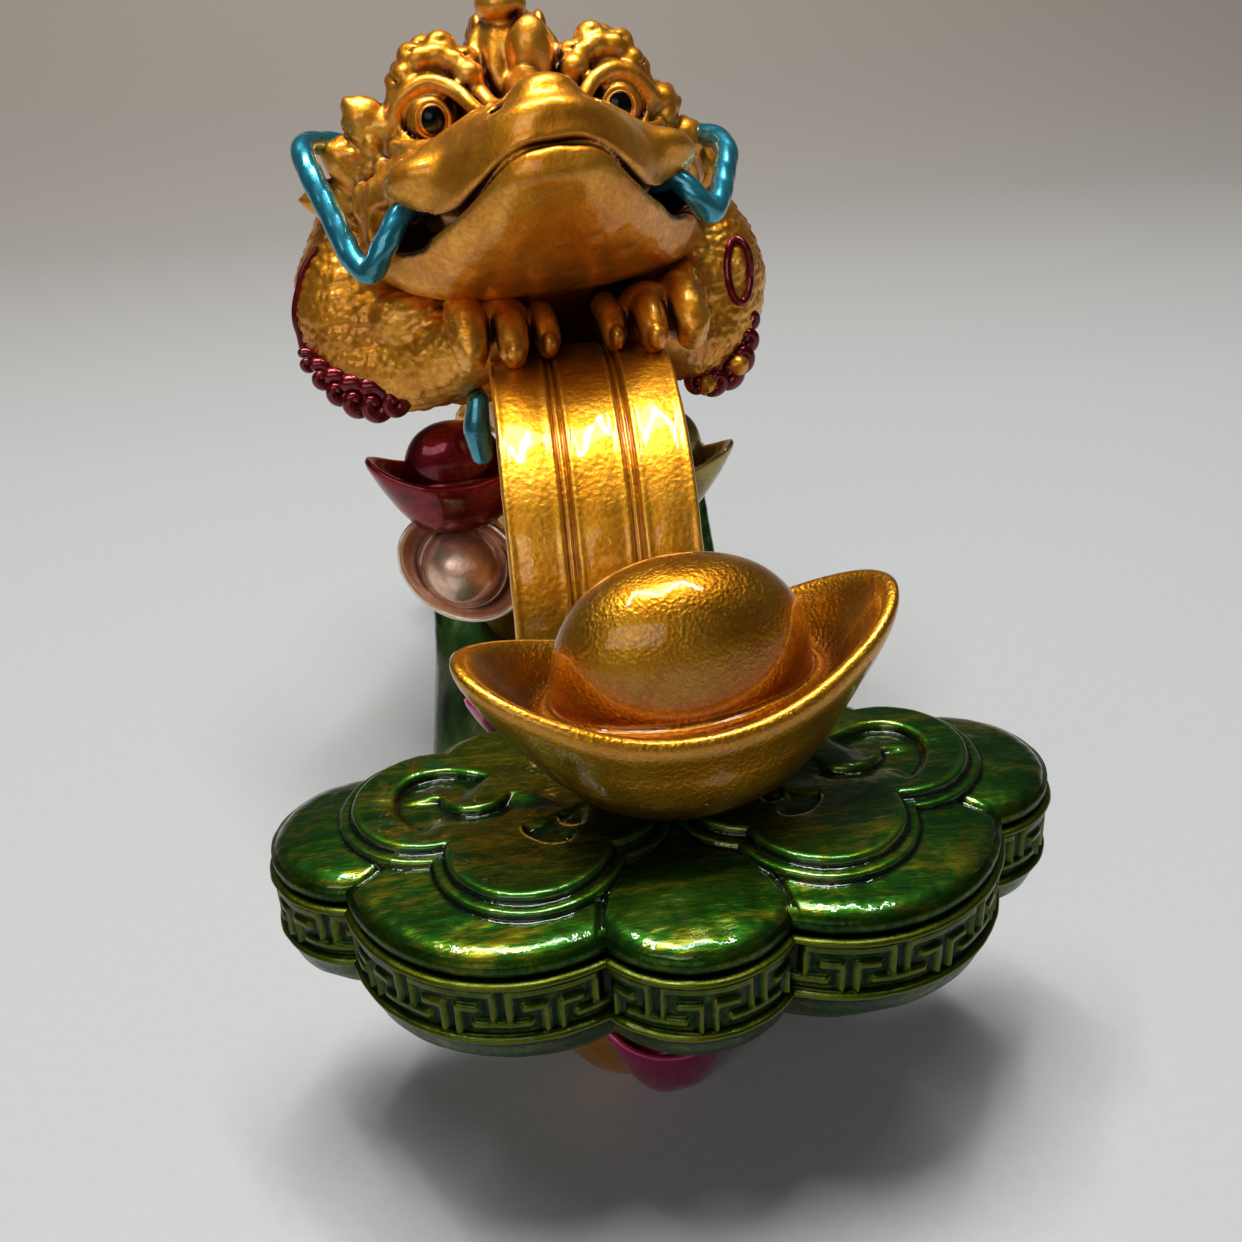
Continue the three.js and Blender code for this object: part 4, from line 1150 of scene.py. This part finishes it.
def crest(clay):
    """Lobes on the crown, then frills at both sides and a bud between petals with a ball on top."""
    for at, sizes in CREST_LOBES:
        clay.mix(ball(in_head(at), sizes, (HEAD_PITCH, 0, 0)), 2.0)
    for rise in (3.2, 6.2):
        for step in range(5):
            clay.mix(ball(in_head((rise, 34 + 6.5 * step, 57.5 - 0.6 * step ** 2)), (1.5, 2.2, 3.4)), 0.8)
    clay.unfold()
    for tip, base in np.array(FRILLS, float):
        side = np.sign(base[0])
        middle = lerp(base, tip, 0.55) + [0.6 * side, 0, 1.2]
        clay.mix(limb([in_head(base), in_head(middle), in_head(tip)], [6.4, 4.4, 0.6], 8), 1.4)
        inner = lerp(base, tip, 0.5) + [0.4 * side, -5.2, 1.4]
        clay.mix(limb([in_head(base + [0, -6.8, 0]), in_head(inner)], [1.1, 0.7], 3), 2.4, cut=True)
    clay.mix(ball(in_head((-1.0, 27, 51)), (8.0, 7.0, 9.8), (HEAD_PITCH, 0, 0)), 1.2)
    for line, radius in PETALS:
        radii = [1.2, radius * 0.95, radius, radius, radius * 0.8]
        clay.mix(limb([in_head(p) for p in line], radii, 14), 0.7)
    clay.mix(ball(in_head((2.2, 21.2, 52)), (4.8, 4.6, 8.4), (HEAD_PITCH + 10, 0, 0)), 0.6)
    clay.mix(ball(in_head((-2.2, 26.4, 62.2)), (5.2, 5.2, 3.7), (HEAD_PITCH, 0, 0)), 0.8)


def warts(points, size, seed, share, bluntness):
    """Height from 0 to 1 of round warts on seeded spots, each as wide as its share of a cell."""
    near = cells(points, size, seed)[0]
    return np.clip(1 - (near / share) ** 2, 0, 1) ** bluntness


def toad_head():
    clay = Clay((-50, -36, -24), (50, 50, 62), TOAD_HEAD_STEP)
    corner = ball((24.4, 2, 1.0), (6.2, 13, 4.3), (24, 0, 0))
    face(clay, corner)
    eyes_and_brows(clay)
    crest(clay)
    points, faces, shade = clay.mesh()
    out = normals(points, faces)
    x, y, z = np.abs(points[:, 0]), points[:, 1], points[:, 2]
    cheek = ease(23, 28, x) * ease(0, 6, y) * ease(4, 9, z) * ease(38, 34, x)
    rough = np.maximum(cheek, ease(15, 26, y) * ease(6, 14, z))
    wart = warts(points, 3.1, 41, 0.52, 0.7)
    points = points + out * (0.85 * wart * rough)[:, None]
    shade = shade + 0.35 * rough * (0.5 - wart)
    points = points + out * (0.12 * noise(points, 2.4, 43))[:, None]
    inside = corner[0](np.abs(points[:, 0]), points[:, 1], points[:, 2])
    shade = shade + 0.9 * ease(1.5, 0.3, inside)
    points[:, 2] += 0.045 * points[:, 0] * ease(14, 4, points[:, 2]) * ease(16, 4, points[:, 1])
    make("toad_head", put(points, HEAD), faces, toad_gold, "antique_gold", shade)


def eye_discs(name, profile, material, slot, wide):
    """Round pieces on both eyeballs: (share of the eyeball's radius, angle from the line of sight)."""
    ahead = np.array(EYE_SIGHT) / np.linalg.norm(EYE_SIGHT)
    side = np.array([1.0, 0, 0])
    up = np.cross(side, ahead)
    angle = turns(EYE_AROUND)
    turning = wide * np.cos(angle)[:, None] * side + np.sin(angle)[:, None] * up
    share, away = np.array(profile).T
    ring, along = (EYE_RADIUS * share * f(np.radians(away)) for f in (np.sin, np.cos))
    quads = grid_faces(len(profile), EYE_AROUND, wrap=True)[:, ::-1]
    around = ring[:, None, None] * turning + along[:, None, None] * ahead
    parts = [((around + np.array(EYE) * [mirror, 1, 1]).reshape(-1, 3), quads) for mirror in (1, -1)]
    points, faces = merged(parts)
    make(name, put(points, HEAD), faces, material, slot)


def eyes():
    lens = [(1.065 + 0.035 * np.cos(np.radians(a * 3.4)), a) for a in np.linspace(0.5, 27, 12)]
    eye_discs("pupils", lens + [(0.97, 28.5)], black, "black_gloss", 0.86)
    ring = [(1.0 + 0.07 * np.sin(np.pi * t) ** 0.7, lerp(33, 43, t)) for t in np.linspace(0, 1, 11)]
    eye_discs("eye_rings", [(0.97, 32.5)] + ring + [(0.97, 43.5)], toad_gold, "antique_gold", 0.97)


def scales(points, out, mask, size, height, down, seed):
    """Overlapping rounded scales: each rises towards its lower edge and drops to the next one."""
    near, second, way = cells(points, size, seed, 0.75)
    border = np.clip((second - near) / 0.32, 0, 1)
    lift = 0.55 + 0.9 * (way @ np.array(down))
    return points + out * (height * mask * border ** 0.6 * np.clip(lift, 0.1, 1.2))[:, None], border


def toad_trunk():
    clay = Clay((-46, -16.3, -56.4), (46, 118, 54), TRUNK_STEP)
    clay.mix(limb([(0, 26, 20), (0, 43, 22), (0, 66, 4), (0, 84, -14)], [23, 29, 27, 18], 12), 3.0)
    clay.mix(ball((0, 26, 3), (25, 13.5, 12)), 2.0)
    clay.mix(ball((25, 28, 8), (11, 12, 12)), 2.0)
    clay.mix(ball((19, 20, -3), (9, 9, 9)), 2.0)
    clay.mix(ball((0, 78, -14), (22, 17, 20)), 3.0)
    clay.mix(limb([(0, 80, -20), (0, 88, -34), (0, 97, -43)], [13, 10, 8], 8), 2.0)
    for x in (0, 11):
        clay.mix(limb([(x * 0.5, 96, -43), (x, 104, -46), (x * 1.15, 109, -50)], [5, 4.8, 3.8], 6), 1.0)
    for k in range(7):
        clay.mix(ball((0, 46 + 6 * k, 51.5 - 0.55 * k * k - 0.6 * k), (2.6, 3.2, 3.2)), 1.2)
    points, faces, shade = clay.mesh()
    out = normals(points, faces)
    upper = ease(-0.35, 0.15, out[:, 2]) * ease(22, 34, points[:, 1])
    big, small = warts(points, 6.6, 51, 0.42, 0.6), warts(points, 3.0, 52, 0.5, 0.7)
    points = points + out * (upper * (1.5 * big + 0.5 * small))[:, None]
    shade = shade + 0.3 * upper * (0.5 - np.maximum(big, 0.7 * small))
    shade = shade + 0.9 * ease(32, 20, points[:, 1]) * ease(20, 8, points[:, 2])
    make("toad_trunk", put(points, TOAD), faces, toad_gold, "antique_gold", shade)


def to_hands(points):
    """The hands hold the coins' outer edges, so they stand a little towards one side."""
    hand = ease(24, 8, points[:, 1]) * ease(34, 24, np.abs(points[:, 0]))
    points = points.copy()
    points[:, 0] += hand * np.where(points[:, 0] > 0, 5.6, 3.8)
    return points


def toad_forelegs():
    """Makes the forelegs and gives back the points of their skin."""
    clay = Clay((-54, -18, -22), (54, 52, 34), FORELEG_STEP)
    leg = [(32, 34, 16), (38, 27, 6), (36.6, 22, -3), (29, 16, -4.4), (20, 8, 1.4), (14, 4, 5)]
    clay.mix(limb(leg, [14, 13, 10.4, 8.6, 7.4, 6.4], 14), 1.5)
    clay.mix(limb([(31, 20, -3.6), (23, 19, -6.4), (15, 20, -7.4)], [7.0, 7.0, 7.0], 8), 3.0)
    clay.mix(ball((28.6, 15.4, 6.2), (7, 6.4, 6)), 3.0)
    for x, reach, top, wide in ((21, -5.4, 9.4, 3.9), (13, -7, 8.2, 3.3), (5.8, -4, 7.2, 2.8)):
        toe = [
            (x, reach + 11, top - 0.6), (x, reach + 4.4, top - 1.6), (x, reach + 1.4, top * 0.5),
            (x, reach + 1.6, 1.8)]
        clay.mix(limb(toe, [wide, wide, wide * 0.96, wide * 0.74], 10), 0.6)
        clay.mix(ball((x, reach - 1.4, 3.4), (wide * 0.52, 1.7, 2.3)), 0.35)
    clay.unfold()
    clay.mix(ball((42.2, 18.2, 9), (2.6, 3.6, 5.8), (0, 8, 0)), 0.5)
    for at, size in (((41, 12.6, -10.4), 2.3), ((33.6, 12.4, -13.6), 2.5)):
        clay.mix(ball(at, (size, size, size * 0.94)), 0.4)
    points, faces, shade = clay.mesh()
    out = normals(points, faces)
    mask = 1 - ease(26, 18, np.abs(points[:, 0])) * ease(12, 5, points[:, 1])
    points, border = scales(points, out, mask, 2.1, 0.5, (0.2, -0.2, -0.95), 61)
    shade = shade + 0.45 * mask * (0.55 - border)
    points = to_hands(points + out * (0.12 * noise(points, 2.0, 63))[:, None])
    make("toad_forelegs", put(points, TOAD), faces, toad_gold, "antique_gold", shade)
    return points


SKIN_NEAR, SKIN_LIFT = 0.9, 0.15
# Places of the curls under the left and the right elbow, and their sizes
FRINGES = [
    (-1, [(-49.4, 19, -0.8), (-46.4, 17.2, -4.2), (-42.8, 15.2, -7.2), (-38.6, 13.4, -9.0),
          (-34.0, 12.6, -9.0), (-29.6, 12.8, -7.6)]),
    (1, [(45.4, 20, 3), (44.8, 18.6, -2), (43.2, 17, -6.6), (40.6, 15.6, -10.4), (36.6, 14.8, -12.6),
         (32.2, 14.6, -12.8)])]
CURL_SIZES = (2.2, 2.9, 3.5, 4.0, 4.1, 3.6, 2.7)


def left_of_skin(skin, y, z):
    """The left limb's outermost point at (y, z)."""
    near = np.hypot(skin[:, 1] - y, skin[:, 2] - z) < SKIN_NEAR
    return (float(skin[near, 0].min()) + SKIN_LIFT, y, z)


def front_of_skin(skin, x, z):
    """A limb's foremost point at (x, z)."""
    near = (np.hypot(skin[:, 0] - x, skin[:, 2] - z) < SKIN_NEAR) & (skin[:, 1] < 30)
    return (x, float(skin[near, 1].min()) + SKIN_LIFT, z)


def tufts(skin):
    """A fringe of curls under each elbow, and fine edges of the same red on the forelegs' skin."""
    parts = []
    for mirror, spots in FRINGES:
        parts.append(tube(moved(spots, -mirror * 0.8, 1.6, 1.2), [1.8, 3.0, 3.5, 3.2, 2.0], 24, 64))
        for size, (x, y, z) in zip(CURL_SIZES, spline(spots, 7)):
            curl = []
            for step in range(17):
                a = np.radians(110 + mirror * 25 * step)
                r = size * (1 - 0.05 * step)
                curl.append((x + r * np.cos(a) * 0.8, y - 1.4 - 0.12 * step, z - 0.4 + r * np.sin(a) * 0.9))
            parts.append(tube(curl, [size * 0.5, size * 0.46, size * 0.26], 16, 64))
    edge = [left_of_skin(skin, 24 - 0.2 * k, 20 - 2.4 * k) for k in range(9)]
    parts.append(tube(edge, [0.4, 0.75, 0.85, 0.85], 14, 90))
    turn = np.linspace(0, 2 * np.pi, 25)
    ring = [front_of_skin(skin, 42.2 + 2.7 * np.cos(a), 9.0 + 6.2 * np.sin(a)) for a in turn]
    parts.append(tube(ring, [0.9, 0.9], 14, 120))
    points, faces = merged(parts)
    make("tufts", put(points, TOAD), faces, tuft_red, "crimson_lacquer", hollows(points, faces, 0.12))


ROPE_TWIST = 0.4
ROPE_LEFT = [
    (-21, 5, 30), (-26, 0.6, 30), (-30.6, -2.6, 24.6), (-34.2, -2.4, 19.6), (-36.8, 0.4, 21.4),
    (-39.8, 6, 28.8), (-43, 13, 37), (-43.4, 19, 39.8), (-38.6, 27, 39.2), (-28, 33, 36)]
ROPE_RIGHT = [
    (20, 5, 30), (25.4, 0.6, 31), (28.8, -2, 27.8), (31.6, -1.6, 24.8), (34.4, 2, 26.4), (37.2, 8, 30),
    (39.4, 14, 33.6), (38.4, 20, 35.6), (33.4, 27, 35.2), (24, 33, 33)]


def ropes():
    """Cords of three twisted strands from the corners of the mouth."""
    radius = ROPE_RADIUS / UNIT * 0.94
    points, faces = merged([
        tube(line, [radius, radius], 36, 240, twist=twist)
        for line, twist in ((ROPE_LEFT, -ROPE_TWIST), (ROPE_RIGHT, ROPE_TWIST))])
    bead = tube([(-11.9, 50, 45.4), (-12.3, 49.4, 42.4), (-12.1, 49.8, 39.6)], [1.15, 1.5, 1.2], 30, 40)
    points, faces = merged([(put(points, TOAD), faces), bead])
    make("ropes", points, faces, teal, "teal_lacquer", hollows(points, faces, 0.025))


def glue():
    """Clear adhesive that was pressed out under the ingot's foot."""
    a = lerp(-1.9, 0.7, np.arange(40) / 39)
    wide = 1 + 0.05 * np.sin(5 * a + 1) + 0.04 * np.sin(9 * a)
    line = np.stack([7.9 * np.cos(a) * wide, 4.0 * np.sin(a) * wide, np.full(40, 0.05)], -1)
    points, faces = tube(line, [0.1, 0.2, 0.24, 0.2, 0.08], 14, 160, squash=0.8)
    place = placing(INGOT_X, INGOT_Y, PLATEAU_TOP + 0.1, 0, 0, INGOT_TURN)
    make("adhesive", put(points, place), faces, clear, "bright_gold")


# Camera, stage and lights, in metres

def photo_camera():
    data = bpy.data.cameras.new("camera")
    data.sensor_width = 36
    data.lens = 36 * PHOTO_FOCAL / PHOTO_SIZE
    data.clip_start = 0.005
    camera = new_object("camera", data)
    a, e, roll = (np.radians(v) for v in (CAMERA_TURN, CAMERA_TILT, CAMERA_ROLL))
    right = np.array([np.cos(a), np.sin(a), 0])
    ahead = np.array([-np.sin(a) * np.cos(e), np.cos(a) * np.cos(e), -np.sin(e)])
    up = np.cross(right, ahead)
    turned = np.cos(roll) * right + np.sin(roll) * up
    above = -np.sin(roll) * right + np.cos(roll) * up
    matrix = np.eye(4)
    matrix[:3] = np.stack([turned, above, -ahead, (np.array(CAMERA_AT) + ROW_SHIFT) * MM], -1)
    camera.matrix_world = Matrix(matrix.tolist())
    bpy.context.scene.camera = camera


def stage():
    """A pale sweep: floor, curved rise and a low back wall, darker and warmer towards the back."""
    profile = [(-1.3, 0), (0.30, 0), (0.42, 0.005), (0.52, 0.04), (0.58, 0.10), (0.60, 0.17), (0.605, 0.26)]
    line = spline([(y, z, 0) for y, z in profile], 80)
    across = np.linspace(-1.6, 1.6, 9)
    points = np.array([[x, y, max(z, 0)] for y, z, _ in line for x in across])
    mesh = bpy.data.meshes.new("sweep")
    mesh.from_pydata(points.tolist(), [], grid_faces(len(line), len(across)).tolist())
    mesh.shade_smooth()
    paint = Paint("sweep")
    place = paint.coordinates()
    apart = paint.node("ShaderNodeSeparateXYZ")
    paint.join(place, apart.inputs[0])
    tint = paint.node("ShaderNodeValToRGB")
    stops = tint.color_ramp.elements
    stops[0].color, stops[1].color = (0.48, 0.495, 0.495, 1), (0.36, 0.31, 0.265, 1)
    paint.join(paint.remap(apart.outputs["Y"], 0.12, 0.58), tint.inputs["Fac"])
    cloth = paint.speckle(place, Scale=900.0, Detail=4.0)
    product = paint.node("ShaderNodeVectorMath", operation="SCALE")
    paint.join(tint.outputs["Color"], product.inputs[0])
    paint.join(paint.remap(cloth, 0.0, 1.0, 0.95, 1.05), product.inputs["Scale"])
    paint.join(product.outputs["Vector"], paint.shader["Base Color"])
    paint.shader["Roughness"].default_value = 0.55
    mesh.materials.append(paint.material)
    floor = new_object("sweep", mesh)


LIGHT_AIM = (0, -0.02, 0.03)
# Four narrow lamps in a zigzag, which shows in the lacquer
LAMP_CORNERS = [(-0.27, -0.12), (-0.16, 0.12), (-0.04, -0.12), (0.08, 0.12), (0.2, -0.12)]
LAMP_HEIGHT, LAMP_BREADTH, LAMP_POWER = 0.62, 0.03, 0.75
ROOM_COLOR, ROOM_STRENGTH = (0.80, 0.80, 0.82, 1), 0.055


def area_light(name, at, size, power, color=(1, 1, 1), turn=None):
    """A light that looks at the figure, or straight down with its length turned."""
    data = bpy.data.lights.new(name, "AREA")
    data.shape = "RECTANGLE"
    data.size, data.size_y = size
    data.energy = power
    data.color = color
    light = new_object(name, data)
    light.location = at
    if turn is None:
        light.rotation_mode = "QUATERNION"
        light.rotation_quaternion = (Vector(at) - Vector(LIGHT_AIM)).to_track_quat("Z", "Y")
    else:
        light.rotation_euler = (0, 0, turn)


def lights():
    area_light("ceiling", (-0.04, 0.08, 1.0), (0.5, 0.34), 5.0, (1.0, 0.985, 0.96))
    for k, ((x0, y0), (x1, y1)) in enumerate(zip(LAMP_CORNERS, LAMP_CORNERS[1:])):
        middle = ((x0 + x1) / 2, (y0 + y1) / 2, LAMP_HEIGHT)
        size = (float(np.hypot(x1 - x0, y1 - y0)), LAMP_BREADTH)
        area_light("lamp_%d" % k, middle, size, LAMP_POWER, turn=float(np.arctan2(y1 - y0, x1 - x0)))
    area_light("front", (-0.45, -0.95, 0.62), (0.9, 0.5), 2.6, (0.98, 0.98, 1.0))
    world = bpy.data.worlds.new("room")
    world.use_nodes = True
    room = world.node_tree.nodes["Background"].inputs
    room["Color"].default_value, room["Strength"].default_value = ROOM_COLOR, ROOM_STRENGTH
    bpy.context.scene.world = world
    bpy.context.scene.view_settings.view_transform = "Standard"


sceptre_side()
sceptre_top()
handle()
tail()
coins()
large_ingot()
small_ingots()
glue()
toad_head()
eyes()
toad_trunk()
tufts(toad_forelegs())
ropes()
photo_camera()
stage()
lights()
